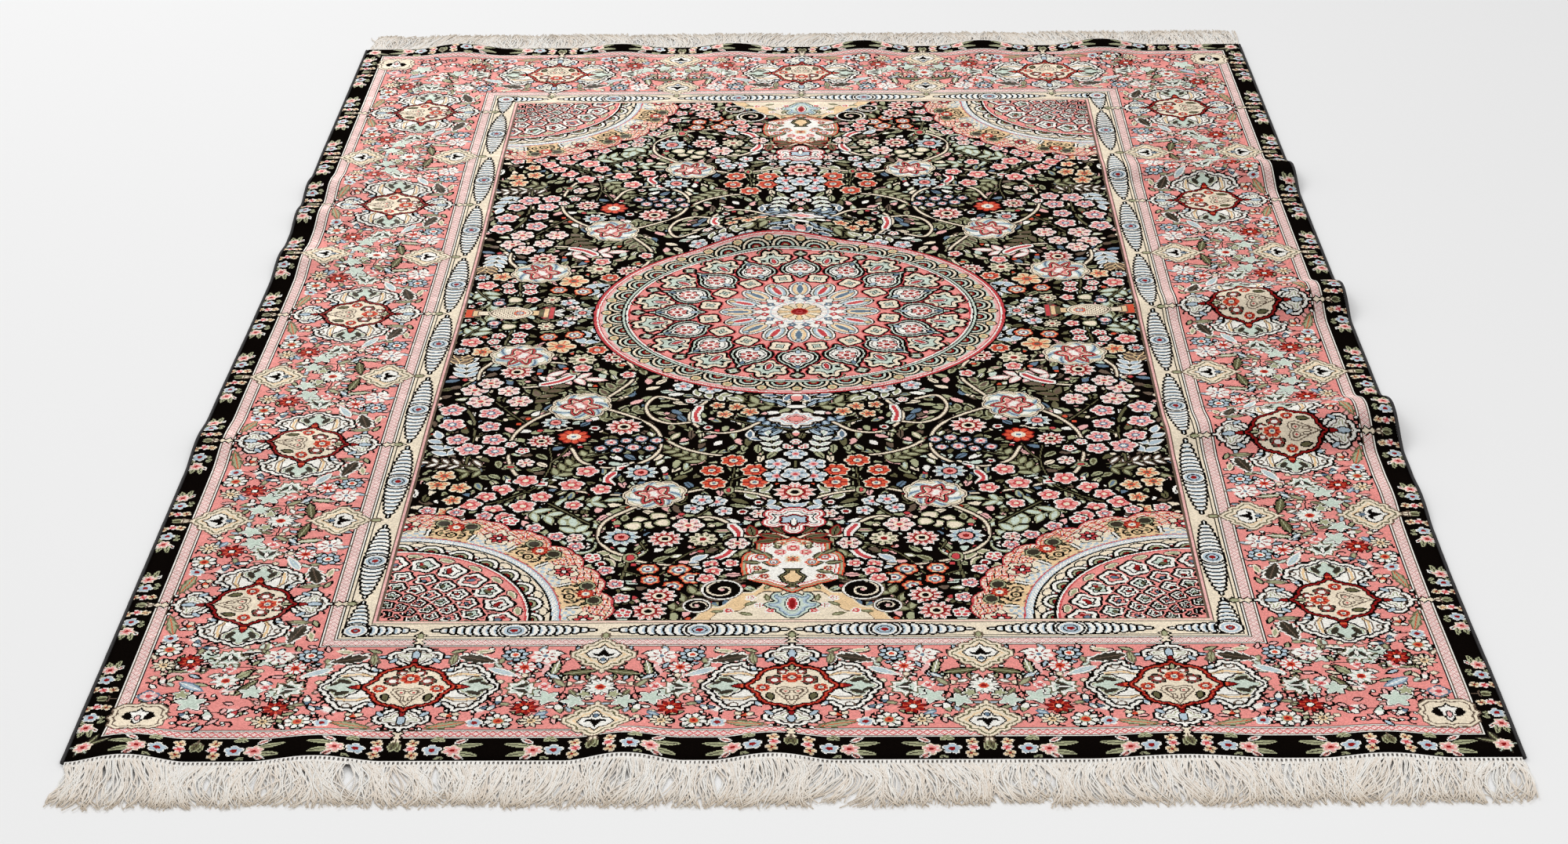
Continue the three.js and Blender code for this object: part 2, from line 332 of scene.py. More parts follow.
LILY_HEART = mirrored([(0, 12), (3, 5), (5, 1), (10, 3), (8, -2), (3, -3), (0, -1)])
TULIP = mirrored([(0, 21), (3, 13), (12, 14), (8, 7), (19, 2), (10, -2), (9, -11), (3, -9), (0, -15)])


def palmette(run):
    """The large cartouche on a run's axis: nested outlines, leafy lobes at its ends and a vase of flowers."""
    middle = MAIN_WIDTH / 2
    for way in (1, -1):
        tip = run.at(0, middle + way * 84, 20, 0)
        tip.shape(fourfold([(0, 15), (3, 10), (7, 7), (3, 3), (6, 0)]), (0, BLACK), (1.5, CREAM))
    spot = run.at(0, middle, 90)
    spot.shape(lobed(CARTOUCHE, 0.2), (0, BLACK), (2.3, WHITE), (5.4, BLACK), (7.6, WHITE))
    for way in (1, -1):
        lobe = run.at(54 * way, middle, 34, -90 * way)
        lobe.shape(lobed(LOBE_LEAF * 1.2), (0, BLACK), (2, WHITE), (3.4, SAGE), (4.6, MINT))
        for side in (1, -1):
            lobe.oval(10 * side, 3, 3.2, 7, (0, MOSS), turn=-25 * side)
            lobe.oval(6 * side, 11, 2.2, 5, (0, MOSS), turn=35 * side)
            for near, colour, width in ((0, TAUPE, 1.3), (3, PEACH, 2.6), (6, TAUPE, 1.3)):
                places = ((28 + near, 16 + near / 2), (44, 19 + near), (60, 17 + near))
                run.thread([(a * way, middle + c * side) for a, c in places], colour, width)
            curl_end = run.at(50 * way, middle + 32 * side, 9)
            curl_end.fill((np.abs(curl_end.r - 4) < 0.9) & (curl_end.v * side < 2), TAUPE)
            bud(run.at(31 * way, middle + 26 * side, 16, 90 * side - 30 * way), 11, 8, SKY, WHITE)
        flame = run.at(34 * way, middle, 24, 0 if way > 0 else 180)
        bud(flame, 20, 10, ORANGE, RED)
        flame.oval(5, 0, 2.6, 1.4, (0, BLACK))
        shield = run.at(0, middle + 52 * way, 30, 0 if way > 0 else 180)
        shield.shape(lobed(SHIELD * 0.86), (0, TAUPE), (1.3, WHITE), (3, SAGE), (4.2, WHITE))
        for side in (1, -1):
            shield.oval(19 * side, -6, 3.4, 6, (0, BLACK), (1.3, SKY), turn=40 * side)
        shield.oval(0, 4, 4.6, 8.5, (0, BLACK), (1.5, SKY))
        shield.oval(0, -9, 3.6, 8, (0, BLACK), (1.3, RED))
    if run.upright:
        coats = ((0, BLACK), (2.0, RED), (4.0, BLACK), (5.8, CREAM))
    else:
        coats = ((0, BLACK), (1.9, RED), (3.1, ORANGE), (3.9, RED), (4.8, BLACK), (6.4, CREAM))
    run.at(0, middle, 48).shape(lobed(OGEE * np.array([1.06, 1.16])), *coats)
    vase = run.at(0, middle, 44)
    vase.shape(VASE, (0, TAUPE), (1.3, CREAM), (3.6, TAUPE), (4.8, CREAM))
    for side in (1, -1):
        vase.oval(5.5 * side, -9.5, 4.4, 4.4, (0, TAUPE), (1.3, CREAM), (3.0, ROSE))
        vase.oval(3.5 * side, -20, 2.2, 4.5, (0, TAUPE), (1.2, CREAM))
        leaf(run.at(20 * side, middle - 11, 16, -90 - 12 * side), 15, 9, OLIVE, BLACK)
        bloom(run.at(15 * side, middle + 10, 12), "brown", 9)
        bloom(run.at(25 * side, middle - 3, 11), "scarlet", 8.5)
        bloom(run.at(8 * side, middle + 24, 9), "brown", 6.5)
    bloom(run.at(0, middle + 14, 13), "scarlet", 11)
    leaf(run.at(0, middle + 26, 12, 90), 12, 7.5, SAGE, BLACK)


def small_cartouche(run, a, c, turn):
    """The small cream cartouche: four lobes with a black and white lily."""
    run.at(a, c, 40, turn).shape(lobed(SMALL_CARTOUCHE, 0.2), (0, TAUPE), (1.7, CREAM), (4.2, OLIVE),
                                 (5.8, CREAM), (9, PEACH), (10.5, CREAM))
    tip = run.at(a, c + (34 if turn == 0 else -34), 9)
    tip.shape(fourfold([(0, 7), (4, 4), (5, 0)]), (0, TAUPE), (1.4, CREAM))
    flower = run.at(a, c, 22, turn)
    flower.shape(LILY * 1.12, (0, BLACK), (1.5, WHITE))
    flower.shape(LILY_HEART, (0, BLACK))
    flower.oval(0, -8.5, 3, 3.6, (0, BLACK), (0.9, SLATE))


# Flowers of the main border: place along from the palmette, place across, radius
BORDER_FLOWERS = [
    ("sky daisy", 88, 126, 13),
    ("red star", 115, 124, 13),
    ("white daisy", 98, 104, 12),
    ("carnation", 104, 35, 14),
    ("white rosette", 83, 13, 13.5),
    ("cream daisy", 111, 13, 12.5),
    ("sky flower", 63, 10, 8),
    ("pink four", 118, 71, 6),
]
# Leaves: place of the stalk, direction in degrees, length, width, teeth, fill, edge, rib
BORDER_LEAVES = [
    (38, 124, -17, 38, 20, 5, MOSS, WHITE, TAUPE),
    (33, 108, 84, 24, 9, 0, SAGE, TAUPE, OLIVE),
    (52, 131, 10, 18, 7, 0, SAGE, CREAM, None),
    (66, 103, -28, 32, 10, 0, SKY, WHITE, MINT),
    (128, 116, -100, 32, 12, 5, SAGE, BLACK, WHITE),
    (132, 92, 12, 34, 14, 5, OLIVE, BLACK, SAGE),
    (120, 92, -40, 16, 9, 0, SKY, BLACK, WHITE),
    (56, 11, 195, 38, 13, 4, SAGE, OLIVE, ORANGE),
    (136, 70, 128, 20, 8, 0, SAGE, TAUPE, None),
    (140, 66, -62, 20, 8, 0, OLIVE, TAUPE, SAGE),
    (92, 40, 168, 16, 7, 0, SAGE, TAUPE, None),
    (124, 28, -150, 14, 7, 0, SKY, SLATE, None),
]
# Buds: place of the stalk, direction, length, width, fill, tip
BORDER_BUDS = [
    (81, 56, -96, 17, 9, WHITE, SLATE),
    (80, 36, 186, 16, 9, MINT, SLATE),
    (131, 42, -75, 18, 10, WHITE, SAGE),
    (32, 84, 80, 15, 10, WHITE, SKY),
    (34, 38, 150, 15, 10, WHITE, MAUVE),
    (31, 25, -20, 14, 9, CREAM, ORANGE),
    (72, 30, 60, 12, 8, WHITE, SKY),
    (60, 72, 250, 12, 7, WHITE, SKY),
]
# Pale leaves of five lobes: place, size, fill
BORDER_MAPLES = [(121, 52, 13, MINT), (145, 46, 12, MINT), (108, 60, 9, MINT), (154, 58, 8, SAGE)]
# Stems: thread width, colour, then the places they pass
BORDER_STEMS = [
    (1.3, BLACK, [(131, 94), (137, 78), (134, 58), (126, 44), (106, 36)]),
    (1.2, BLACK, [(76, 44), (88, 38), (100, 36)]),
    (1.2, BLACK, [(137, 70), (150, 72), (160, 70)]),
    (1.2, BLACK, [(48, 122), (40, 126), (35, 112)]),
    (1.2, BLACK, [(76, 112), (82, 100), (92, 96)]),
    (1.2, BLACK, [(127, 116), (131, 108), (133, 116), (128, 121)]),
    (1.2, BLACK, [(58, 27), (62, 22), (60, 15), (66, 17), (70, 24)]),
    (1.2, BLACK, [(81, 44), (79, 50), (81, 58)]),
    (1.2, TAUPE, [(116, 40), (122, 52), (120, 60)]),
    (1.2, TAUPE, [(133, 50), (140, 46), (150, 52), (158, 62)]),
]


def strew(run, first, last, low, high, seed):
    """Pale leaves, hooks and dots over a pink ground, each on a jittered place, before the flowers go on."""
    rng = np.random.default_rng(seed)
    fills = (WHITE, MINT, SAGE, MAUVE, CREAM, WHITE, MAUVE, SKY)
    spacing = 10.4
    for a in np.arange(first, last, spacing):
        for c in np.arange(low, high, spacing):
            pa, pc = a + rng.uniform(-4, 4), c + rng.uniform(-4, 4)
            turn, fill, kind = rng.uniform(0, 360), fills[rng.integers(8)], rng.random()
            if rng.random() < 0.12 and low + 20 < pc < high - 20 and first + 20 < pa < last - 20:
                leaf(run.at(pa, pc, 24, turn), 22, 11, (WHITE, MAUVE)[rng.integers(2)], MAUVE)
            if kind < 0.42:
                edges = (BLACK, BLACK, TAUPE, BLACK)
                leaf(run.at(pa, pc, 20, turn), rng.uniform(11, 17), 7.6, fill, edges[rng.integers(4)])
            elif kind < 0.7:
                hook = run.at(pa, pc, 8, turn)
                hook.fill((np.abs(hook.r - 4.6) < 1.1) & (hook.u > -1.5), BLACK)
                hook.oval(0, 4.6, 2.9, 2.9, (0, BLACK), (1.3, WHITE))
            elif kind < 0.78:
                run.at(pa, pc, 6).oval(0, 0, 4, 4, (0, TAUPE), (1.3, CREAM))


def border_cell(run, stretch=1.0, until=170, corner=False):
    """The ground between a palmette and the next axis: strewn leaves, stems, leaves, buds, then flowers."""
    strew(run, 8, until, 6, 136, 31)
    for width, colour, points in BORDER_STEMS:
        if max(a for a, _ in points) < until:
            run.thread([(a * stretch, c) for a, c in points], colour, width)
    for a, c, turn, length, width, teeth, fill, edge, rib in BORDER_LEAVES:
        if a < until and not (corner and c > 85 and a > 60):
            leaf(run.at(a * stretch, c, length + 4, turn), length, width, fill, edge, rib, teeth)
    for a, c, turn, length, width, fill, tip in BORDER_BUDS:
        if a < until:
            bud(run.at(a * stretch, c, length + 4, turn), length, width, fill, tip)
    for a, c, size, fill in BORDER_MAPLES:
        if a < until:
            maple(run.at(a * stretch, c, size + 3, 40), size, fill)
    tulip = run.at(96 * stretch, 68, 24, -90)
    tulip.shape(TULIP, (0, OLIVE), (1.4, WHITE), (3.6, MINT))
    for side in (1, -1):
        tulip.oval(4.5 * side, 3, 2.4, 6.5, (0, MOSS), turn=-30 * side)
    tulip.oval(0, 1, 2.6, 7, (0, BLACK), (1.1, WHITE))
    for kind, a, c, r in BORDER_FLOWERS:
        if a < until and not (corner and c > 85):
            bloom(run.at(a * stretch, c, r + 2), kind, r, turn=11)


# The corner square: flowers, leaves and buds by their distances from the side and the end
CORNER_FLOWERS = [
    ("lily", 116, 130, 15),
    ("white daisy", 139, 206, 9),
    ("plum", 54, 104, 10),
    ("pink four", 82, 152, 8),
]
CORNER_LEAVES = [
    (138, 150, 230, 44, 15, 5, SAGE, BLACK, OLIVE),
    (128, 104, 60, 34, 13, 5, OLIVE, BLACK, SAGE),
    (96, 152, 190, 36, 13, 5, SAGE, TAUPE, OLIVE),
    (76, 128, -35, 30, 11, 0, SKY, SLATE, WHITE),
    (104, 168, 20, 40, 13, 5, MOSS, WHITE, TAUPE),
    (66, 150, 120, 20, 9, 0, SAGE, TAUPE, None),
    (140, 176, 80, 24, 10, 0, SAGE, WHITE, None),
]
CORNER_BUDS = [
    (112, 62, 100, 17, 11, WHITE, MINT),
    (128, 66, 60, 16, 10, WHITE, ROSE),
    (96, 66, 140, 14, 9, WHITE, SLATE),
    (62, 124, 100, 15, 9, WHITE, MAUVE),
    (56, 140, 40, 14, 9, CREAM, SAGE),
    (146, 128, -20, 14, 9, WHITE, SKY),
]
CORNER_MAPLES = [(92, 92, 15, MINT), (142, 110, 12, MINT), (146, 164, 11, MINT), (92, 172, 12, MINT),
                 (82, 106, 9, SAGE)]
CORNER_STEMS = [
    (1.3, BLACK, [(76, 152), (104, 152), (138, 152), (132, 128), (136, 104), (150, 92)]),
    (1.2, BLACK, [(60, 96), (70, 100), (76, 90), (68, 84)]),
    (1.2, BLACK, [(96, 60), (104, 72), (116, 76), (128, 70)]),
    (1.2, BLACK, [(116, 144), (110, 152), (98, 160)]),
]


def corner_square(quarter):
    """The square where the two main borders meet, with its own small cartouche."""
    strew(quarter, 50, 186, 56, 186, 37)
    for width, colour, points in CORNER_STEMS:
        quarter.thread(points, colour, width)
    for x, y, turn, length, width, teeth, fill, edge, rib in CORNER_LEAVES:
        leaf(quarter.at(x, y, length + 4, turn), length, width, fill, edge, rib, teeth)
    for x, y, turn, length, width, fill, tip in CORNER_BUDS:
        bud(quarter.at(x, y, length + 4, turn), length, width, fill, tip)
    for x, y, size, fill in CORNER_MAPLES:
        maple(quarter.at(x, y, size + 3, 20), size, fill)
    for kind, x, y, r in CORNER_FLOWERS:
        bloom(quarter.at(x, y, r + 2), kind, r, turn=11)
    spot = quarter.at(52, 68, 34)
    spot.shape(fourfold([(0, 27), (5, 23), (15, 24), (20, 20), (25, 14), (24, 6), (28, 0)]),
               (0, TAUPE), (1.7, CREAM), (4.4, TAUPE), (5.9, CREAM))
    spot.shape(LILY, (0, BLACK), (1.9, WHITE))
    for way in (1, -1):
        spot.oval(9 * way, 2, 3.4, 7, (0, BLACK), turn=-20 * way)
    spot.oval(0, -2, 3, 6, (0, BLACK), (1.4, MAUVE))


# Half a guard spray, from its axis outwards: kind, place along, share of the guard's width, radius
GUARD_FLOWERS = [
    ("orange four", 15, 0.78, 6.2),
    ("pink four", 14, 0.48, 6.2),
    ("orange four", 16, 0.18, 6.2),
    ("sky flower", 32, 0.42, 9.5),
    ("rose", 49, 0.40, 9.5),
]
# Leaves of a guard spray: place along, share of the guard's width, direction, length, width, fill
GUARD_LEAVES = [
    (0, 0.85, -78, 16, 9, OLIVE),
    (52, 0.3, -14, 20, 7, SAGE),
    (52, 0.6, 10, 23, 7, SAGE),
    (50, 0.2, -38, 13, 6, PINK),
    (50, 0.75, 36, 14, 6, PINK),
    (41, 0.86, 135, 11, 6, SAGE),
    (42, 0.1, -140, 11, 6, SAGE),
    (30, 0.9, 20, 9, 6, SAGE),
]


def guard_spray(chart, axis, sign, depth, upright):
    """A spray on the black guard: leaves from its axis, stacked blossoms, a blue flower and a leafy rose."""
    run = Run(chart, axis, sign, PLAIN, upright)
    small = min(1.0, depth / 32)
    for a, c, turn, length, width, fill in GUARD_LEAVES:
        if upright:
            length, width, c = 0.62 * length, 0.8 * width, 0.5 + 0.6 * (c - 0.5)
        edge = WHITE if fill == PINK else SAGE
        leaf(run.at(a, c * depth, 30, turn), length, width, fill, edge, MOSS, rim=1.3)
    for kind, a, c, r in GUARD_FLOWERS:
        bloom(run.at(a, c * depth, 14), kind, 0.95 * r * small, turn=20, edge=1.3)
    run.thread([(0, depth), (0, depth * 0.8), (5, depth * 0.72)], TAUPE, 1.2)


def guard_corner(quarter):
    """The single rose with two leaves in a corner of the guard."""
    for turn in (70, 20):
        leaf(quarter.at(19, 20, 26, turn), 20, 7, OLIVE, MOSS, SAGE)
    for turn in (160, 250, 300):
        leaf(quarter.at(15, 16, 20, turn), 13, 6, SAGE, MOSS, MINT)
    bloom(quarter.at(16, 17, 12), "rose", 9, turn=20)


def scale_oval(run, a, half, c):
    """An oval of overlapping scales: discs shrink towards both tips, each white with a blue inner half."""
    for t in np.linspace(1, 0, 10):
        for way in (1, -1):
            wide = 12.8 * np.sqrt(1 - 0.93 * t**1.7)
            disc = run.at(a + way * half * t * 0.95, c, 18)
            disc.oval(0, 0, 9.4 - 4 * t, wide, (0, BLACK), (2.3, WHITE))
            disc.oval(-way * 3.4, 0, 6.6 - 3.4 * t, wide - 3.2, (0, SKY))
    eye = run.at(a, c, 18)
    eye.oval(0, 0, 13.4, 12.8, (0, BLACK), (2.2, WHITE), (4.0, SKY), (6.4, BLACK), (7.8, SKY), (9.8, RED))


def band_run(chart, axes, half, widths, upright, corner):
    """The ovals of the cream band, half a cell either side of every axis, and green tips on the axes."""
    c = (widths["inner"] + widths["band"]) / 2
    run = Run(chart, 0, 1, PLAIN, upright)
    middles = {round(axis + step * half / 2, 1) for axis in axes for step in (-1, 1, 3)}
    for middle in sorted(middle for middle in middles if middle > corner):
        scale_oval(run, middle, 80 if middle - corner > 80 else 74, c)
    for axis in axes:
        for place in (axis, axis + half):
            tip = run.at(place, c - 10, 16)
            tip.oval(0, 0, 3.2, 5, (0, OLIVE), (1, SAGE))


def band_corner(quarter):
    """The disc in the corner of the cream band, with a tail of scales along each side."""
    c = (END["inner"] + END["band"]) / 2
    for upright in (False, True):
        run = Run(quarter.chart, c, 1, PLAIN, upright)
        for t in np.linspace(1, 0.15, 7):
            wide = 12 * np.sqrt(1 - 0.93 * t**1.3)
            disc = run.at(52 * t, c, 18)
            disc.oval(0, 0, 8 - 3 * t, wide, (0, BLACK), (2.1, WHITE))
            disc.oval(-2.4, 0, 5.6 - 3 * t, wide - 3, (0, SKY))
    eye = quarter.at(c, c, 18)
    eye.oval(0, 0, 12.6, 12.6, (0, BLACK), (2.2, WHITE), (4.0, SKY), (6.6, WHITE), (8.2, RED), (10.8, SLATE))


def lay_borders(chart):
    """All that lies on the bands, from the main border outwards and inwards."""
    quarter = Quarter(chart)
    corner_square(quarter)
    runs = [(axis, SIDE, HALF_CELL_SIDE, True) for axis in SIDE_AXES]
    runs += [(axis, END, HALF_CELL_END, False) for axis in END_AXES]
    for axis, widths, half, upright in runs:
        for sign in (1, -1):
            run = Run(chart, axis, sign, widths, upright)
            last = sign < 0 and axis in (SIDE_AXES[0], END_AXES[0])
            border_cell(run, 1.06 if last and not upright else 1.0, 120 if last else 170, last and upright)
            if not last:
                bloom(run.at(half, 70, 18), "lily", 16, turn=11)
    for axis, widths, half, upright in runs:
        run = Run(chart, axis, 1, widths, upright)
        small_cartouche(run, half, 126, 0)
        small_cartouche(run, half, 13, 180)
        palmette(run)
    for axis, widths, half, upright in runs:
        cells = [axis, axis + half] + ([axis - half] if axis in (SIDE_AXES[0], END_AXES[0]) else [])
        for place in cells:
            for sign in (1, -1):
                guard_spray(chart, place, sign, widths["guard"], upright)
    guard_corner(quarter)
    band_run(chart, SIDE_AXES, HALF_CELL_SIDE, SIDE, True, 300)
    band_run(chart, END_AXES, HALF_CELL_END, END, False, 300)
    band_corner(quarter)


# Green stems and cream vines of the field: width, and the places passed in mm from the side and from the end
STEMS = [
    (2.0, [(457, 356), (452, 320), (450, 290), (468, 262)]),
    (1.4, [(452, 330), (478, 318), (492, 330), (500, 350)]),
    (1.4, [(457, 356), (470, 380), (486, 392)]),
    (1.4, [(470, 372), (462, 400), (470, 430)]),
    (1.4, [(500, 350), (520, 372), (556, 386)]),
    (1.4, [(500, 430), (520, 446), (534, 470)]),
    (1.6, [(545, 486), (548, 520), (550, 562)]),
    (1.4, [(548, 520), (560, 530), (569, 541)]),
    (1.4, [(548, 516), (536, 520), (529, 541)]),
    (1.6, [(300, 445), (330, 480), (355, 505), (350, 530)]),
    (1.4, [(330, 480), (312, 470), (295, 466)]),
    (1.4, [(345, 495), (370, 488), (392, 508)]),
    (1.6, [(370, 470), (392, 448), (414, 425)]),
    (1.8, [(281, 560), (282, 620), (278, 660), (262, 700)]),
    (1.4, [(282, 600), (266, 612), (257, 640)]),
    (1.4, [(282, 620), (296, 632), (300, 672)]),
    (1.6, [(333, 650), (312, 680), (292, 712), (280, 740)]),
    (1.4, [(306, 690), (318, 700), (324, 716)]),
    (1.6, [(362, 528), (366, 560), (360, 600), (352, 628)]),
    (1.4, [(366, 560), (376, 580), (384, 604)]),
    (1.6, [(402, 572), (440, 590), (470, 606)]),
    (1.6, [(436, 790), (470, 776), (520, 752), (560, 742)]),
    (1.4, [(470, 776), (500, 768), (545, 764)]),
    (1.6, [(540, 662), (562, 650), (590, 640), (610, 632)]),
    (1.8, [(292, 815), (290, 850), (294, 892)]),
    (1.4, [(350, 860), (358, 880), (352, 905)]),
    (1.6, [(610, 480), (609, 530), (610, 585)]),
    (1.4, [(610, 540), (596, 548), (590, 556)]),
    (1.4, [(240, 866), (252, 890), (268, 912)]),
]
VINES = [
    (2.4, [(457, 356), (436, 372), (424, 398), (428, 430), (450, 456), (466, 468)]),
    (2.4, [(457, 352), (486, 342), (522, 342), (546, 356), (556, 388), (548, 424), (528, 440), (506, 432)]),
    (2.4, [(443, 487), (410, 492), (372, 506), (340, 524), (326, 552), (320, 590), (324, 628), (340, 660),
           (362, 684)]),
    (2.4, [(408, 690), (440, 668), (464, 642), (474, 608), (468, 574), (446, 552), (420, 548), (396, 562),
           (384, 592)]),
    (2.4, [(476, 614), (496, 592), (522, 578), (546, 574)]),
    (2.2, [(430, 545), (422, 520), (430, 502)]),
    (2.2, [(502, 492), (524, 500), (545, 497), (570, 490), (592, 478)]),
    (2.2, [(572, 652), (552, 632), (526, 628), (506, 648), (500, 672), (516, 704)]),
    (2.2, [(506, 654), (482, 650), (462, 664), (454, 692), (464, 716), (486, 708)]),
    (2.2, [(404, 702), (424, 734), (436, 762), (432, 796), (412, 828), (388, 850)]),
    (2.2, [(282, 806), (272, 784), (274, 756), (294, 742), (330, 742), (356, 752)]),
    (2.2, [(346, 806), (366, 800), (378, 784), (372, 764)]),
    (2.0, [(610, 392), (590, 404), (566, 398), (556, 414)]),
]
# Thick rose parts of the vines: width, places passed
SWELLINGS = [
    (5.6, [(556, 384), (558, 404), (550, 422)]),
    (5.6, [(536, 352), (546, 360), (553, 374)]),
    (5.6, [(462, 546), (448, 550), (436, 546)]),
    (5.6, [(510, 690), (506, 672), (508, 656)]),
    (5.6, [(342, 748), (358, 756), (370, 768)]),
    (5.6, [(328, 520), (346, 516), (362, 512)]),
    (5.0, [(430, 536), (424, 522), (430, 508)]),
]
# Rings where vines meet: place, half sizes
KNUCKLES = [(457, 356, 7, 9), (545, 497, 5, 8), (474, 612, 9, 5), (326, 551, 7, 5), (372, 782, 5, 7),
            (434, 784, 5, 4)]
# Flowers of the field: kind, radius, and their places
FIELD_FLOWERS = [
    ("scarlet", 14, [(548, 563), (570, 541), (527, 541), (570, 514), (530, 512)]),
    ("blue", 13.5, [(592, 555), (592, 528), (610, 578), (610, 532)]),
    ("mauve", 13.5, [(294, 677), (253, 685), (296, 645), (257, 650), (303, 614), (266, 614), (280, 592),
                     (307, 587)]),
    ("pale", 14, [(321, 706), (280, 706), (307, 732), (271, 735), (286, 752)]),
    ("pink", 12.5, [(403, 540), (390, 510), (420, 500), (344, 520), (322, 500), (362, 484), (346, 464),
                    (308, 485), (318, 455), (294, 468), (330, 440)]),
    ("apricot", 11.5, [(280, 505), (258, 512), (276, 478), (262, 532), (273, 452)]),
    ("plum", 7, [(469, 610), (453, 614), (438, 610), (423, 606), (413, 592), (463, 592), (446, 594),
                 (430, 588)]),
    ("blue", 12, [(492, 781), (519, 768), (548, 760), (519, 736), (548, 735), (490, 742)]),
    ("ruby", 10.5, [(570, 760), (588, 746), (569, 734)]),
    ("ruby", 17, [(384, 620)]),
    ("aster", 15, [(352, 610)]),
    ("cornflower", 15, [(363, 654)]),
    ("aster", 20, [(434, 643)]),
    ("cornflower", 18, [(457, 537)]),
    ("aster", 15, [(413, 818)]),
    ("straw", 16, [(378, 812)]),
    ("aster", 19, [(311, 781)]),
    ("apricot", 17, [(452, 812)]),
    ("aster", 22, [(610, 492)]),
    ("pale", 15.5, [(509, 422)]),
    ("aster", 17.5, [(488, 394)]),
    ("straw", 14.5, [(524, 393)]),
    ("cornflower", 19, [(446, 398)]),
    ("ivory", 8.5, [(462, 433), (479, 441), (472, 424), (456, 421), (484, 428)]),
    ("blue", 10.5, [(512, 458), (534, 472), (542, 452), (520, 476)]),
    ("pale", 12, [(557, 384)]),
    ("orange blue", 10.5, [(475, 333), (504, 331), (478, 312), (516, 315), (499, 299)]),
    ("pink", 9, [(534, 342), (536, 328), (552, 344), (530, 314)]),
    ("aster", 17, [(488, 281), (479, 252)]),
    ("pink", 13, [(253, 860)]),
    ("rosy", 8.5, [(281, 877), (304, 879), (277, 861), (303, 863), (282, 844), (305, 846)]),
    ("orange blue", 10, [(336, 874), (364, 879)]),
    ("apricot", 18, [(351, 848)]),
    ("apricot", 13, [(268, 834)]),
    ("cornflower", 10, [(245, 836)]),
    ("scarlet", 12, [(392, 838)]),
    ("plum", 7, [(273, 906), (272, 912)]),
    ("ivory", 9, [(289, 903)]),
    ("pink", 8.5, [(309, 903)]),
    ("straw", 10.5, [(331, 903)]),
    ("blue", 11, [(351, 912)]),
    ("pale", 9, [(358, 928)]),
    ("button", 6, [(392, 898), (250, 912), (242, 920)]),
    ("cornflower", 11, [(396, 874)]),
    ("apricot", 9.5, [(536, 672), (548, 690), (528, 694), (562, 678)]),
    ("rosy", 7, [(603, 596), (617, 596), (610, 606), (335, 588), (322, 602), (500, 706)]),
    ("pink", 10, [(395, 466), (380, 790), (430, 772)]),
    ("button", 6.5, [(520, 640), (404, 640), (415, 560), (560, 450), (575, 470), (440, 330), (430, 344)]),
    ("pale", 9, [(576, 446), (340, 560), (410, 380), (402, 396)]),
]
# Leafy sprays: start, direction, length, pairs of leaves, length and width of a leaf, its fill and its edge
SPRAYS = [
    (372, 528, 60, 62, 5, 20, 8, SAGE, OLIVE),
    (300, 552, 170, 56, 5, 20, 6, WHITE, TAUPE),
    (300, 545, 200, 50, 4, 18, 6, SAGE, OLIVE),
    (352, 452, -24, 64, 4, 22, 8, MINT, SAGE),
    (372, 462, 14, 54, 3, 22, 7, MINT, SAGE),
    (262, 575, 108, 44, 3, 20, 9, SKY, WHITE),
    (258, 765, 95, 62, 5, 20, 8, SKY, WHITE),
    (330, 700, 60, 60, 4, 22, 8, TAUPE, OLIVE),
    (560, 612, 40, 52, 4, 20, 8, SLATE, WHITE),
    (590, 620, 120, 44, 4, 18, 7, SKY, SLATE),
    (520, 560, 140, 46, 4, 18, 7, SAGE, OLIVE),
    (590, 690, 160, 66, 4, 24, 9, SAGE, OLIVE),
    (600, 700, 120, 44, 3, 20, 8, SLATE, WHITE),
    (440, 740, 200, 60, 4, 22, 9, OLIVE, SAGE),
    (340, 770, 350, 46, 3, 24, 9, WHITE, MAUVE),
    (406, 660, 30, 50, 4, 18, 7, OLIVE, SAGE),
    (500, 736, 330, 44, 3, 18, 8, SAGE, WHITE),
    (245, 800, 80, 46, 4, 18, 8, TAUPE, PEACH),
    (250, 876, 70, 42, 3, 22, 9, MINT, SAGE),
    (376, 852, 75, 34, 2, 22, 11, SKY, WHITE),
    (400, 858, 250, 40, 3, 18, 8, SAGE, OLIVE),
    (440, 372, 250, 56, 4, 22, 9, SAGE, CREAM),
    (410, 360, 100, 60, 4, 24, 10, MINT, SAGE),
    (566, 456, 20, 44, 3, 20, 8, SKY, WHITE),
    (556, 488, 10, 48, 3, 22, 9, SAGE, WHITE),
    (510, 350, 350, 44, 3, 20, 9, SKY, WHITE),
    (566, 340, 110, 44, 3, 18, 8, SAGE, OLIVE),
    (590, 580, 100, 40, 3, 16, 6, MINT, WHITE),
    (500, 250, 60, 52, 3, 20, 8, SAGE, OLIVE),
    (404, 700, 70, 50, 3, 20, 8, TAUPE, SAGE),
]
# Large palmettes: place, radius, direction
GREAT_PALMETTES = [(473, 488, 31, 200), (386, 693, 33, 215), (312, 822, 33, 150)]

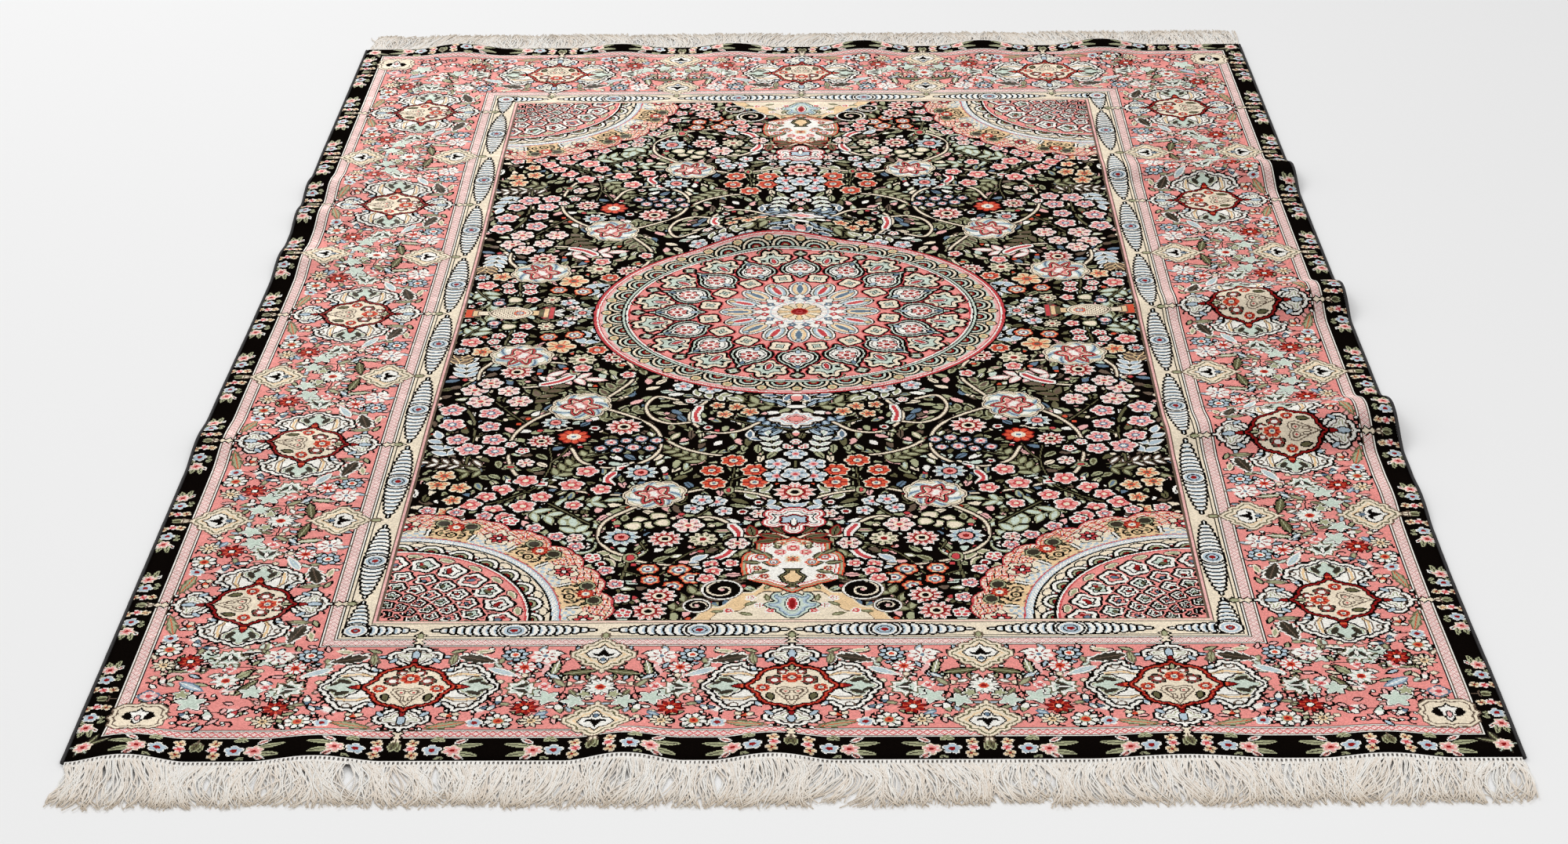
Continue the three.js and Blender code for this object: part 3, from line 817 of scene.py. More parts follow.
# Outlines of the field's figures in mm: the right half, from the top down
HEART_STAR = mirrored([(0, 20), (4, 9), (13, 12), (10, 1), (14, -9), (5, -10), (0, -17)])
FLAME = mirrored([(0, 14), (4, 5), (9, 6), (6, -2), (7, -9), (0, -12)])
LOTUS = mirrored([(0, 26), (7, 25), (13, 20), (21, 22), (27, 14), (24, 6), (28, -4), (20, -12), (10, -10),
                  (6, -22), (0, -24)])
PENDANT = mirrored([(0, 60), (6, 54), (16, 52), (22, 56), (34, 54), (37, 30), (45, 26), (49, 18), (48, -22),
                    (42, -30), (26, -38), (12, -46), (0, -56)])
DIAMOND = mirrored([(0, 24), (6, 16), (15, 15), (18, 8), (31, 0), (18, -9), (15, -15), (6, -16), (0, -25)])
GREY_PALMETTE = mirrored([(0, 24), (9, 20), (12, 26), (20, 20), (17, 8), (27, 2), (16, -8), (12, -16),
                          (0, -25)])


def great_palmette(spot, r):
    """A large palmette: a ragged pale disc with grey and blue patches, in it a ringed star round a flame."""
    ragged = r * (0.9 + 0.1 * np.abs(np.sin(4.5 * spot.a)) + 0.07 * np.sin(2 * spot.a + 1))
    spot.rings(ragged, (-1.6, BLACK), (0, CREAM), (1.6, TAUPE), (2.8, CREAM), (6.2, SAGE), (7.4, WHITE))
    swirl = np.sin(7 * spot.a + 0.3 * spot.r)
    for limit, colour in ((0.1, MINT), (0.5, SKY), (0.9, SLATE)):
        spot.fill((swirl > limit) & spot.between(r * 0.5, ragged - 3.4), colour)
    size = r / 26
    spot.shape(lobed(HEART_STAR * size * 1.12, 0.12), (0, TAUPE), (1.2, ROSE), (3.0, BLACK), (4.4, CREAM),
               (5.6, PINK))
    spot.shape(FLAME * size * 0.8, (0, RED), (1.4, MAUVE), (3.0, WHITE))


def spray(quarter, x, y, turn, length, pairs, long, wide, fill, edge):
    """Pairs of leaves along a short stem, and one at its tip."""
    cos, sin = heading(turn)
    stem = [(x + share * length * cos, y + share * length * sin) for share in (0, 0.5, 1)]
    quarter.thread(stem, OLIVE, 1.4)
    for k in range(pairs):
        t = length * (k + 0.3) / pairs
        for side in (1, -1):
            place = quarter.at(x + t * cos, y + t * sin, long + 5, turn + side * 48)
            leaf(place, long + 2, wide + 5.5, BLACK, BLACK)
            leaf(place, long * (1 - 0.06 * k), wide + 1.5, fill, edge)
    leaf(quarter.at(x + length * cos, y + length * sin, long + 3, turn), long, wide + 1.5, fill, edge)


def lay_ground_leaves(quarter):
    """Loose leaves and berries everywhere on the black ground, each on its own jittered place."""
    rng = np.random.default_rng(5)
    fills = (SAGE, CREAM, MINT, SAGE, SLATE, OLIVE, OLIVE, WHITE, MAUVE, TAUPE)
    berries = (ROSE, CREAM, ORANGE, MAUVE)
    first, spacing = 240, 14
    for x in np.arange(first, MIDDLE[0] + 2, spacing):
        for y in np.arange(first, MIDDLE[1] + 2, spacing):
            px, py = x + rng.uniform(-5, 5), y + rng.uniform(-5, 5)
            turn = 60 * np.sin(px / 47) + 80 * np.cos(py / 61) + rng.uniform(-40, 40)
            length, fill = rng.uniform(13, 21), fills[rng.integers(len(fills))]
            spot = quarter.at(px, py, 24, turn)
            leaf(spot, length + 3, 13.5, BLACK, BLACK)
            edge = (SAGE, fill, fill)[rng.integers(3)]
            leaf(spot, length, 7.6, fill, edge, BLACK if rng.random() < 0.4 else None)
            if rng.random() < 0.2:
                quarter.at(px, py, 6).oval(0, 0, 4, 4, (0, BLACK), (1.2, berries[rng.integers(4)]))


def lay_field(chart):
    """The black field: loose leaves, sprays, stems and vines, flowers, then the framed figures on top."""
    quarter = Quarter(chart)
    field = chart.everywhere()
    inside = (field.u > SIDE["field"]) & (field.v > END["field"])
    field.fill(inside, BLACK)
    kept = chart.ink.copy()
    lay_ground_leaves(quarter)
    for row in SPRAYS:
        spray(quarter, *row)
    for threads, coats in ((STEMS, ((2.6, BLACK), (0, OLIVE))),
                           (VINES, ((3.8, BLACK), (1.4, TAUPE), (0, CREAM))),
                           (SWELLINGS, ((4.6, BLACK), (2.4, WHITE), (-1.6, ROSE)))):
        for width, points in threads:
            for more, colour in coats:
                quarter.thread(points, colour, width + more)
    for x, y, long, wide in KNUCKLES:
        quarter.at(x, y, 14).oval(0, 0, long, wide, (-1.2, BLACK), (0, SAGE), (2.2, BLACK), (3.2, ROSE))
    for kind, r, places in FIELD_FLOWERS:
        for k, (x, y) in enumerate(places):
            spot = quarter.at(x, y, r + 4)
            spot.discs((r + 2.8, BLACK))
            bloom(spot, kind, r * (1 + 0.1 * np.sin(2.4 * k)), turn=17 * k)
    for x, y, r, turn in GREAT_PALMETTES:
        great_palmette(quarter.at(x, y, r + 6, turn), r)
    lay_axis(quarter)
    lay_side_vase(quarter)
    lay_spandrel(quarter)
    lay_medallion(chart)
    chart.ink[~inside] = kept[~inside]


def curl(quarter, x, y, r, turn):
    """A scroll: a white-edged black disc with a white spiral in it."""
    spot = quarter.at(x, y, r + 3, turn)
    spot.discs((r + 1, TAUPE), (r, WHITE), (r - 1.8, BLACK))
    winding = (spot.a / (2 * np.pi) + spot.r / (r * 0.62)) % 1
    spot.fill((winding < 0.2) & spot.between(2, r - 3.4), CREAM)
    spot.discs((2.2, MAUVE))


def leaves(quarter, places, reach, *look):
    """Like leaves, each at a place with a direction of its own."""
    for x, y, turn in places:
        leaf(quarter.at(x, y, reach, turn), *look)


def lay_axis(quarter):
    """The figures on the rug's long axis: grey palmette, framed vase, lotus, diamond palmette and buds."""
    axis = MIDDLE[0]
    ground = quarter.at(axis, 250, 120)
    slope = np.abs(ground.u) + 1.05 * (ground.v + 14)
    for limit, wave, length, top, colour in ((96, 5, 4.5, 62, CREAM), (93, 5, 4.5, 60, PEACH),
                                             (74, 8, 6, 60, TAUPE), (72, 8, 6, 60, CREAM)):
        ground.fill((slope < limit + wave * np.sin(ground.u / length)) & (ground.v < top), colour)
    places = ((566, 262, 30), (560, 284, 120), (584, 292, 60), (536, 250, 10), (574, 244, 160),
              (588, 270, 100))
    leaves(quarter, places, 18, 14, 6, SAGE, OLIVE)
    for x, y, kind in ((552, 252, "pink"), (572, 276, "rosy"), (590, 252, "pink"), (580, 262, "rosy"),
                       (600, 300, "pink")):
        bloom(quarter.at(x, y, 9), kind, 5.5)
    curl(quarter, 545, 292, 19, 200)
    curl(quarter, 523, 262, 13, 20)
    palmette_spot = quarter.at(axis, 262, 40)
    palmette_spot.shape(lobed(GREY_PALMETTE), (0, BLACK), (1.6, MINT), (4, SLATE), (5.4, SKY), (7.6, MINT))
    palmette_spot.oval(0, 3, 7, 14, (0, BLACK), (1, WHITE), (2.6, ROSE), (4.6, RED))
    pendant = quarter.at(axis, 340, 80)
    pendant.shape(lobed(PENDANT, 0.05), (0, BLACK), (1.7, ORANGE), (3.6, SAGE), (5.8, ORANGE), (7.6, WHITE),
                  (9.8, ROSE), (11, WHITE))
    lay_vase(quarter)
    leaves(quarter, ((600, 396, 165), (602, 404, 125), (596, 392, 195), (572, 398, 100)),
           30, 25, 12, OLIVE, RED, BLACK)
    lotus = quarter.at(axis, 430, 44)
    lotus.shape(lobed(LOTUS * 1.15), (0, BLACK), (1.5, ROSE), (3.2, WHITE), (5.4, ROSE), (6.8, WHITE),
                (9, BLACK), (10.4, WHITE))
    lotus.shape(LOTUS * 0.56, (0, RED), (1.8, BLACK), (3.2, SKY))
    lotus.oval(0, -2, 3.4, 8, (0, BLACK), (1, WHITE))
    diamond = quarter.at(axis, 660, 40)
    diamond.shape(lobed(DIAMOND * 1.04), (0, BLACK), (1.5, TAUPE), (2.8, WHITE), (5.4, SKY), (6.6, WHITE))
    diamond.shape(DIAMOND * 0.56, (0, ROSE), (1.4, WHITE), (2.6, RED), (4.2, PINK))
    leaves(quarter, ((597, 636, 230), (588, 642, 215), (600, 690, 130), (590, 700, 150)),
           28, 24, 9, SKY, BLACK, SLATE)
    for y, size in ((714, 12), (626, 8)):
        bud(quarter.at(axis, y - size, 30, 90), size * 2.1, size * 1.3, PINK, WHITE)
    leaves(quarter, ((590, 728, 150), (598, 716, 150)), 22, 18, 7, SLATE, BLACK, WHITE)


def lay_vase(quarter):
    """Inside the frame: a small footed vase with a bunch of flowers and leaves."""
    vase = mirrored([(0, 12), (10, 12), (7, 5), (14, -4), (10, -16), (4, -20), (8, -26), (0, -27)])
    quarter.at(610, 322, 40).shape(vase, (0, BLACK), (1.8, OLIVE), (3.6, BLACK), (5, PEACH))
    places = ((596, 338, 150), (588, 330, 200), (590, 352, 120), (600, 358, 100), (580, 344, 170),
              (574, 322, 220), (582, 362, 140), (596, 372, 100))
    leaves(quarter, places, 24, 18, 9, OLIVE, MOSS, SAGE)
    flowers = ((610, 352, 9, "apricot"), (592, 346, 7, "orange blue"), (598, 366, 8, "pink"),
               (580, 356, 6, "orange blue"), (577, 334, 6, "scarlet"), (610, 374, 9, "pink"),
               (584, 318, 6, "scarlet"), (572, 316, 5, "rosy"), (586, 380, 6, "rosy"),
               (600, 384, 6, "apricot"))
    for x, y, r, kind in flowers:
        bloom(quarter.at(x, y, r + 3), kind, r)


def lay_side_vase(quarter):
    """The vase that lies on the cross axis, its foot towards the long side, with leaves round it."""
    spot = quarter.at(262, 940, 90)
    half = spot.v
    parts = ((-24, -15, 11, ORANGE), (-16, -8, 7, PEACH), (-10, 4, 5, CREAM), (46, 60, 6, PEACH),
             (58, 63, 9, OLIVE), (63, 70, 12, PEACH), (69, 74, 15, ROSE))
    for x0, x1, wide, colour in parts:
        spot.fill((spot.u > x0 - 1) & (spot.u < x1 + 1) & (np.abs(half) < wide + 1.2), TAUPE)
        spot.fill((spot.u > x0) & (spot.u < x1) & (np.abs(half) < wide), colour)
    spot.oval(26, 0, 25, 18, (0, BLACK), (1.2, CREAM), (3.4, TAUPE), (4.4, CREAM))
    speck = (np.sin(spot.u * 1.3) * np.sin(half * 1.3) > 0.55) & (np.hypot((spot.u - 22) / 19, half / 12) < 1)
    spot.fill(speck, TAUPE)
    bloom(quarter.at(298, 940, 12), "orange blue", 7)
    bloom(quarter.at(368, 940, 16), "cornflower", 12)
    places = ((300, 916, 200), (318, 920, 340), (332, 916, 20), (262, 920, 150), (280, 918, 330),
              (346, 930, 10))
    leaves(quarter, places, 22, 17, 7, SAGE, BLACK, OLIVE)


def around(quarter, centre, r, degrees, reach, squeeze=1.0):
    """A spot on a circle, with u pointing outwards."""
    cos, sin = heading(degrees)
    return quarter.at(centre[0] + r * cos, centre[1] + r * sin * squeeze, reach, degrees)


def lay_spandrel(quarter):
    """The quarter fan in a field corner: seeds on pink, rings of arches, a pale band and a lobed rim."""
    centre = (SIDE["field"] + 1.5, END["field"] + 1)
    for degrees in np.arange(3, 90, 7.5):
        spot = around(quarter, centre, 219, degrees, 14)
        spot.discs((11, BLACK))
        bloom(spot, "rosy" if round(degrees) % 2 else "mauve", 9.4, turn=20)
    fan = quarter.at(*centre, 240)
    lobes = fan.a / (2 * np.pi) * 24
    rim = 203 + 7 * np.abs(np.sin(np.pi * lobes)) + 3 * np.abs(np.sin(2 * np.pi * lobes))
    fan.rings(rim, (-1.6, BLACK), (0, ROSE), (1.8, CREAM), (3.6, ORANGE), (5, PEACH))
    gold = np.abs(((fan.a / (2 * np.pi) * 12) % 1) - 0.5) < 0.25
    fan.fill(~gold & (fan.r < rim - 5), CREAM)
    ruffle = (fan.r + 3.2 * np.sin(9.4 * lobes) + 1.8 * np.sin(23 * lobes + 1)) % 6.6
    frill = (fan.r < rim - 2.4) & (fan.r > np.where(gold, rim - 10, rim - 29))
    for low, colour in ((0, ORANGE), (1.4, CREAM), (3.0, PINK), (4.4, WHITE), (5.6, PEACH)):
        fan.fill(frill & (ruffle >= low), colour)
    fan.fill(frill & (np.sin(31 * lobes + 0.3 * fan.r) > 0.86), ROSE)
    fan.fill(frill & (np.sin(17 * lobes - 0.9 * fan.r) > 0.93), BLACK)
    fan.fill(~gold & (fan.r < 176) & (np.sin(26 * lobes) * np.sin(0.8 * fan.r) > 0.05), SKY)
    specks = np.sin(19 * lobes + 0.5 * fan.r) * np.sin(0.55 * fan.r) > 0.6
    fan.fill(gold & (fan.r < rim - 12) & specks, TAUPE)
    for degrees in (15, 45, 75):
        for side in (6.2, 3.1, -0.3, -3.1, -6.2):
            spot = around(quarter, centre, 173 + 0.5 * abs(side), degrees + side, 12)
            spot.fill((np.abs(spot.r - 4.6) < 1.1) & (spot.v * (side + 0.1) > -2), BLACK)
            spot.oval(0, 0, 2, 2, (0, OLIVE))
            leaf(around(quarter, centre, 181, degrees + side * 0.9, 12), 9, 5, OLIVE, BLACK)
        for side in (4.2, -4.2):
            spot = around(quarter, centre, 194, degrees + side, 14)
            spot.oval(0, 0, 8.4, 9, (0, BLACK), (1.2, SAGE), (2.8, MOSS))
        bloom(around(quarter, centre, 189, degrees, 12), "ruby", 9)
    for degrees in (0, 30, 60, 90):
        spot = around(quarter, centre, 184, degrees, 16)
        wave = 2.4 * np.sin(5 * spot.a)
        spot.discs((14 + wave, BLACK), (12.6 + wave, CREAM))
        bloom(spot, "rosy dark", 11, turn=20)
    for degrees in (7.6, 22.4, 37.6, 52.4, 67.6, 82.4):
        spot = around(quarter, centre, 174, degrees, 12)
        for wide, colour in ((2.9, BLACK), (1.3, WHITE)):
            spot.fill((np.abs(spot.u) < 7) & (np.abs(spot.v) < wide), colour)
    fan.discs((163, ROSE), (161.6, SKY), (154.6, BLACK), (152.6, CREAM))
    fan.fill(fan.between(155, 160) & (np.sin(55 * lobes) * np.sin(1.9 * fan.r) > -0.3), WHITE)
    step = 12.86
    for k in range(-1, 8):
        spot = around(quarter, centre, 143, (k + 0.5) * step, 16)
        spot.oval(0, 0, 9, 10, (0, BLACK), (1.5, CREAM))
        spot.oval(-5, 0, 6, 5, (0, BLACK), (1.3, WHITE), (3.4, RED))
    for k in range(-1, 9):
        spot = around(quarter, centre, 134, k * step, 18)
        spot.discs((15.4, BLACK), (13, WHITE), (9.6, BLACK), (7.6, SAGE), (5.6, BLACK), (4.2, RED))
    fan.discs((136.4, BLACK), (133.4, WHITE), (131.8, ROSE), (130, PINK))
    for degrees in (7.7, 22.5, 37.6, 52.4, 67.5, 82.3):
        around(quarter, centre, 124, degrees, 12).oval(0, 0, 5, 9, (0, BLACK), (1.3, CREAM), (2.8, SAGE))
    rng = np.random.default_rng(12)
    for k in range(70):
        seed = around(quarter, centre, 8 + 112 * np.sqrt(rng.random()), rng.uniform(0, 90), 9)
        fill = (MINT, SAGE, WHITE, TAUPE)[k % 4]
        seed.oval(0, 0, 5.8, 4, (0, BLACK), (1.9, fill), turn=rng.uniform(0, 180))
    # Rings of large seeds: radius of the ring, size of a seed, first direction, degrees from seed to seed
    rings = ((108, 15.5, 15.5, 15), (82, 12, 7.5, 15), (62, 10.5, 3, 16), (45, 9, 9, 19), (28, 8, 4, 28),
             (12, 6, 20, 50))
    for k, (r, size, first, step) in enumerate(rings):
        for j in range(-1, 8):
            seed = around(quarter, centre, r, first + step * (j - 1), size + 5)
            rim = size * (0.95 + 0.09 * np.cos(5 * seed.a + 1.3 * j)) * (1 + 0.12 * np.cos(seed.a - 1.2 * j))
            heart, pip = ((PINK, SLATE), (WHITE, RED), (MINT, OLIVE))[(j + k) % 3]
            seed.rings(rim, (-2.2, PINK), (-0.8, BLACK), (2.1, WHITE), (0.4 * size, BLACK),
                       (0.4 * size + 2, heart))
            seed.oval(-0.1 * size, 0, 0.3 * size, 0.22 * size, (0, BLACK), (1.2, pip), turn=50 * j)
            if k == 0:
                seed.oval(0.15 * size, 0.2 * size, 3, 2.4, (0, RED))


MEDALLION_SHIELD = mirrored([(0, 20), (7, 13), (17, 17), (21, 10), (17, 2), (19, -8), (10, -11), (5, -20),
                             (0, -18)])
MEDALLION_OGIVE = mirrored([(0, 31), (6, 24), (14, 20), (21, 12), (22, 0), (18, -9), (12, -15), (5, -24),
                            (0, -34)])
# The medallion is a circle pressed a little flat along the rug
SQUEEZE = 217 / 228


def wheel(quarter, r, reach, first=0.0, number=16):
    """Spots spread evenly round the medallion, with u pointing outwards."""
    for k in range(number):
        yield k, around(quarter, MIDDLE, r, first + 360 / number * k, reach, SQUEEZE)


def lay_medallion(chart):
    """The round medallion: arches at the rim, shields and framed flowers, petals, a star and a rosette."""
    quarter = Quarter(chart)
    disc = chart.at(*MIDDLE, 240, (1, 0), (0, 1 / SQUEEZE))
    disc.discs((230.5, BLACK), (229, ROSE), (225.6, WHITE), (224, ROSE), (222.6, MAUVE), (219, MINT))
    arches = 36
    for k in range(arches):
        arch = around(quarter, MIDDLE, 199, 180 + (k + 0.5) * 360 / arches, 22, SQUEEZE)
        arch.discs((18.4, BLACK), (15.8, CREAM), (13.2, BLACK), (10.2, MINT), (7.6, BLACK), (5.2, RED),
                   (2.8, SAGE))
        dot = around(quarter, MIDDLE, 215, 180 + k * 360 / arches, 10, SQUEEZE)
        dot.oval(0, 0, 6.8, 6.8, (0, BLACK), (1.6, PEACH), (4, SAGE))
    disc.discs((199, BLACK), (197, MINT), (194.6, BLACK), (193, WHITE), (190.8, ROSE), (189, PINK))
    for k in range(16):
        for off, turn in ((6.5, 60), (-6.5, -60)):
            place = around(quarter, MIDDLE, 184, 22.5 * k + off, 24, SQUEEZE)
            cos, sin = heading(turn)
            turned = Spot(place.ink, place.u * cos + place.v * sin, place.v * cos - place.u * sin)
            leaf(turned, 14, 8, SAGE, BLACK, rim=2)
    shield = lobed(MEDALLION_SHIELD) * 1.32
    for _, lobe in wheel(quarter, 165, 42, 11.25):
        spun = Spot(lobe.ink, lobe.v, -lobe.u)
        spun.shape(shield, (0, ROSE), (1.0, BLACK), (4.2, CREAM), (8.4, BLACK), (9.8, MINT))
        spun.oval(0, 6, 6, 11, (0, BLACK), (1.9, WHITE), (3.2, RED), (4.6, ROSE))
        for u, v in ((11, 3), (-11, 3), (0, -14)):
            spun.oval(u, v, 2.8, 2.8, (0, BLACK))
    ogive = 1.04 * lobed(MEDALLION_OGIVE, 0.1) * 1.1
    for k, lobe in wheel(quarter, 136, 46):
        spun = Spot(lobe.ink, lobe.v, -lobe.u)
        spun.shape(ogive, (0, ROSE), (1.0, BLACK), (4.2, MINT), (5.8, BLACK), (8.8, WHITE), (10.8, MOSS),
                   (12.0, WHITE))
        bloom(spun, "medallion flower", 12.5, turn=20)
        spun.oval(0, 19, 4, 5.4, (0, BLACK), (1.3, SKY))
        spun.oval(0, -20, 3.4, 5.4, (0, BLACK), (1.2, SLATE))
        tip = around(quarter, MIDDLE, 180, 22.5 * k, 14, SQUEEZE)
        tip.oval(0, 0, 9, 9, (0, BLACK))
        bloom(tip, "mint four", 8)
    for _, gem in wheel(quarter, 102, 22, 11.25):
        rim = 15.5 * (0.9 + 0.1 * np.cos(4 * gem.a + np.pi))
        gem.rings(rim, (-1.2, ROSE), (0.2, BLACK), (3, CREAM), (8.6, BLACK), (10.2, MINT), (12.6, MOSS))
    for k, petal in wheel(quarter, 68, 24):
        outer, second, inner, heart, drop = ((OLIVE, SKY, WHITE, ROSE, PEACH) if k % 2
                                             else (SLATE, PEACH, CREAM, SLATE, SKY))
        petal.oval(0, 0, 22, 13.5, (0, BLACK), (1.6, WHITE), (3.6, outer), (5.2, second), (8.2, inner),
                   (10.2, heart))
        petal.oval(14, 0, 4.5, 3.6, (0, BLACK), (1.2, drop))
    sectors = disc.a / (2 * np.pi) * 16 + 0.5
    phase = sectors % 1
    star = 53 - 12 * np.abs(phase - 0.5) * 2
    disc.rings(star, (-1.8, BLACK), (0, WHITE))
    arc = np.maximum(disc.r * 0.39, 1)
    seam = np.abs(phase - 0.5) > 0.5 - 0.6 / arc
    disc.fill((disc.r < star) & seam, MAUVE)
    disc.fill(disc.between(31, 33) & ~seam, SKY)
    for k, gem in wheel(quarter, 39, 10, 11.25):
        diamond = np.abs(gem.u) + np.abs(gem.v)
        gem.fill(diamond < 6.2, TAUPE)
        gem.fill(diamond < 5.2, SLATE if k % 2 else ROSE)
        gem.discs((1.2, WHITE))
    petals = 25 - 3 * np.abs(phase - 0.5) * 2
    disc.rings(petals, (-1.1, TAUPE), (0, CREAM))
    disc.fill((disc.r < petals) & (np.floor(sectors) % 2 == 0), PEACH)
    disc.fill((np.abs(phase - 0.5) > 0.5 - 0.55 / arc) & (disc.r < 24), OLIVE)
    disc.discs((10, ORANGE), (8.8, RED), (4, ROSE), (2, RED))


# Waves of the lying cloth in mm: middle x and y, height of the crest, half sizes across and along, turn in
# degrees. They are the solid rug's, but for two crests that are higher here: the one at (-610, -330) by 2 mm
# and the one at (-40, 235) by 3 mm.
WAVES = [
    (610, 420, 14, 330, 62, -6),
    (610, 29, 17, 300, 66, 5),
    (610, -291, 21, 320, 74, 8),
    (610, -470, 4, 160, 60, 0),
    (-610, 395, 7, 190, 56, 6),
    (-610, 300, 7, 170, 52, 0),
    (-610, 160, 7, 210, 60, -5),
    (-610, -330, 6, 180, 64, 0),
    (-40, 235, 14, 120, 75, 12),
    (-474, 940, 8, 66, 75, 0),
    (-252, 940, 6, 66, 80, 0),
    (-96, 940, 6, 62, 70, 0),
    (85, 940, 9, 66, 85, 0),
    (249, 940, 8, 62, 80, 0),
    (413, 940, 9, 70, 85, 0),
    (-556, -940, 8, 52, 80, 0),
    (-397, -940, 6, 56, 70, 0),
    (-139, -940, 8, 50, 75, 0),
    (-15, -940, 7, 52, 80, 0),
    (328, -940, 4, 80, 90, 0),
    (495, -940, 5, 56, 80, 0),
]
# Sideways bows of the long edges: side, middle, half length, amount towards +X
BOWS = [(-1, 120, 420, 4), (1, -620, 240, -2)]


def hill(distance):
    """A rounded hill: 1 at its middle, level from distance 1 on."""
    return np.clip(1 - distance**2, 0, None) ** 2


def lift(x, y):
    """Height of the cloth's underside: the sum of its waves, each a hill on a turned oval."""
    height = np.zeros(np.broadcast(x, y).shape)
    for cx, cy, high, across, along, turn in WAVES:
        cos, sin = heading(turn)
        u = ((x - cx) * cos + (y - cy) * sin) / across
        v = ((y - cy) * cos - (x - cx) * sin) / along
        height = height + high * hill(np.hypot(u, v))
    return height


def shift(x, y):
    """Sideways shift of the cloth: each bow is a hill along its edge that fades towards the other edge."""
    total = np.zeros(np.broadcast(x, y).shape)
    for side, middle, reach, amount in BOWS:
        near = np.clip(0.5 + 0.5 * side * x / MIDDLE[0], 0, 1)
        total = total + amount * near * hill(np.abs(y - middle) / reach)
    return total


def mesh_object(name, points, quads, body_material, ends=()):
    """A mesh from an array of points in mm and an array of quads, with more faces if there are end caps."""
    mesh = bpy.data.meshes.new(name)
    points = np.asarray(points, np.float32) * MM
    quads = np.asarray(quads, np.int32)
    sizes = [np.full(len(faces), faces.shape[1]) for faces in (quads, *ends)]
    sizes = np.concatenate(sizes).astype(np.int32)
    corners = np.concatenate([faces.ravel() for faces in (quads, *ends)]).astype(np.int32)
    mesh.vertices.add(len(points))
    mesh.vertices.foreach_set("co", points.ravel())
    mesh.loops.add(len(corners))
    mesh.loops.foreach_set("vertex_index", corners)
    mesh.polygons.add(len(sizes))
    mesh.polygons.foreach_set("loop_start", np.concatenate([[0], np.cumsum(sizes)[:-1]]).astype(np.int32))
    mesh.polygons.foreach_set("loop_total", sizes)
    mesh.polygons.foreach_set("use_smooth", np.ones(len(sizes), bool))
    mesh.update(calc_edges=True)
    mesh.materials.append(body_material)
    obj = bpy.data.objects.new(name, mesh)
    bpy.context.scene.collection.objects.link(obj)
    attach(obj, "root")
    return obj


def uv_map(mesh, name, corners):
    layer = mesh.uv_layers.new(name=name)
    layer.data.foreach_set("uv", np.asarray(corners, np.float32).ravel())


def attribute(mesh, name, values, kind="FLOAT", domain="POINT", key="value"):
    layer = mesh.attributes.new(name, kind, domain)
    layer.data.foreach_set(key, np.asarray(values, np.float32).ravel())


def packed_knots(ink):
    """Six by six knots of the whole rug for each face: six rows, each one number of six digits to base 16."""
    n = KNOTS["per_face"]
    whole = np.concatenate([ink, ink[:, ::-1]], axis=1)
    whole = np.concatenate([whole, whole[::-1]], axis=0)
    rows, columns = whole.shape
    blocks = whole.reshape(rows // n, n, columns // n, n).transpose(0, 2, 1, 3)
    return (blocks * 16.0 ** np.arange(n)).sum(axis=3).reshape(-1, n)


def cloth_points():
    """Top and underside: a grid that follows the waves, its top rounded down a little at the four edges."""
    edge, end = CLOTH["side"], CLOTH["end"]
    across, along = KNOTS["faces_across"], KNOTS["faces_along"]
    x, y = np.meshgrid(np.linspace(-edge, edge, across + 1), np.linspace(-end, end, along + 1))
    ground = lift(x, y)
    inward = np.minimum(edge - np.abs(x), end - np.abs(y))
    rounding = 1.1 * np.clip(1 - inward / 5, 0, 1) ** 2
    ripple = 0.25 * np.sin(x / 61 + 1.3 * np.sin(y / 83)) * np.sin(y / 47 + 0.8 * np.sin(x / 72))
    ripple = ripple * np.clip(inward / 60, 0, 1)
    px = x + shift(x, y)
    top = np.stack([px, y, ground + CLOTH["thick"] - rounding + ripple], -1).reshape(-1, 3)
    under = np.stack([px, y, ground + 0 * x], -1).reshape(-1, 3)
    return top, under


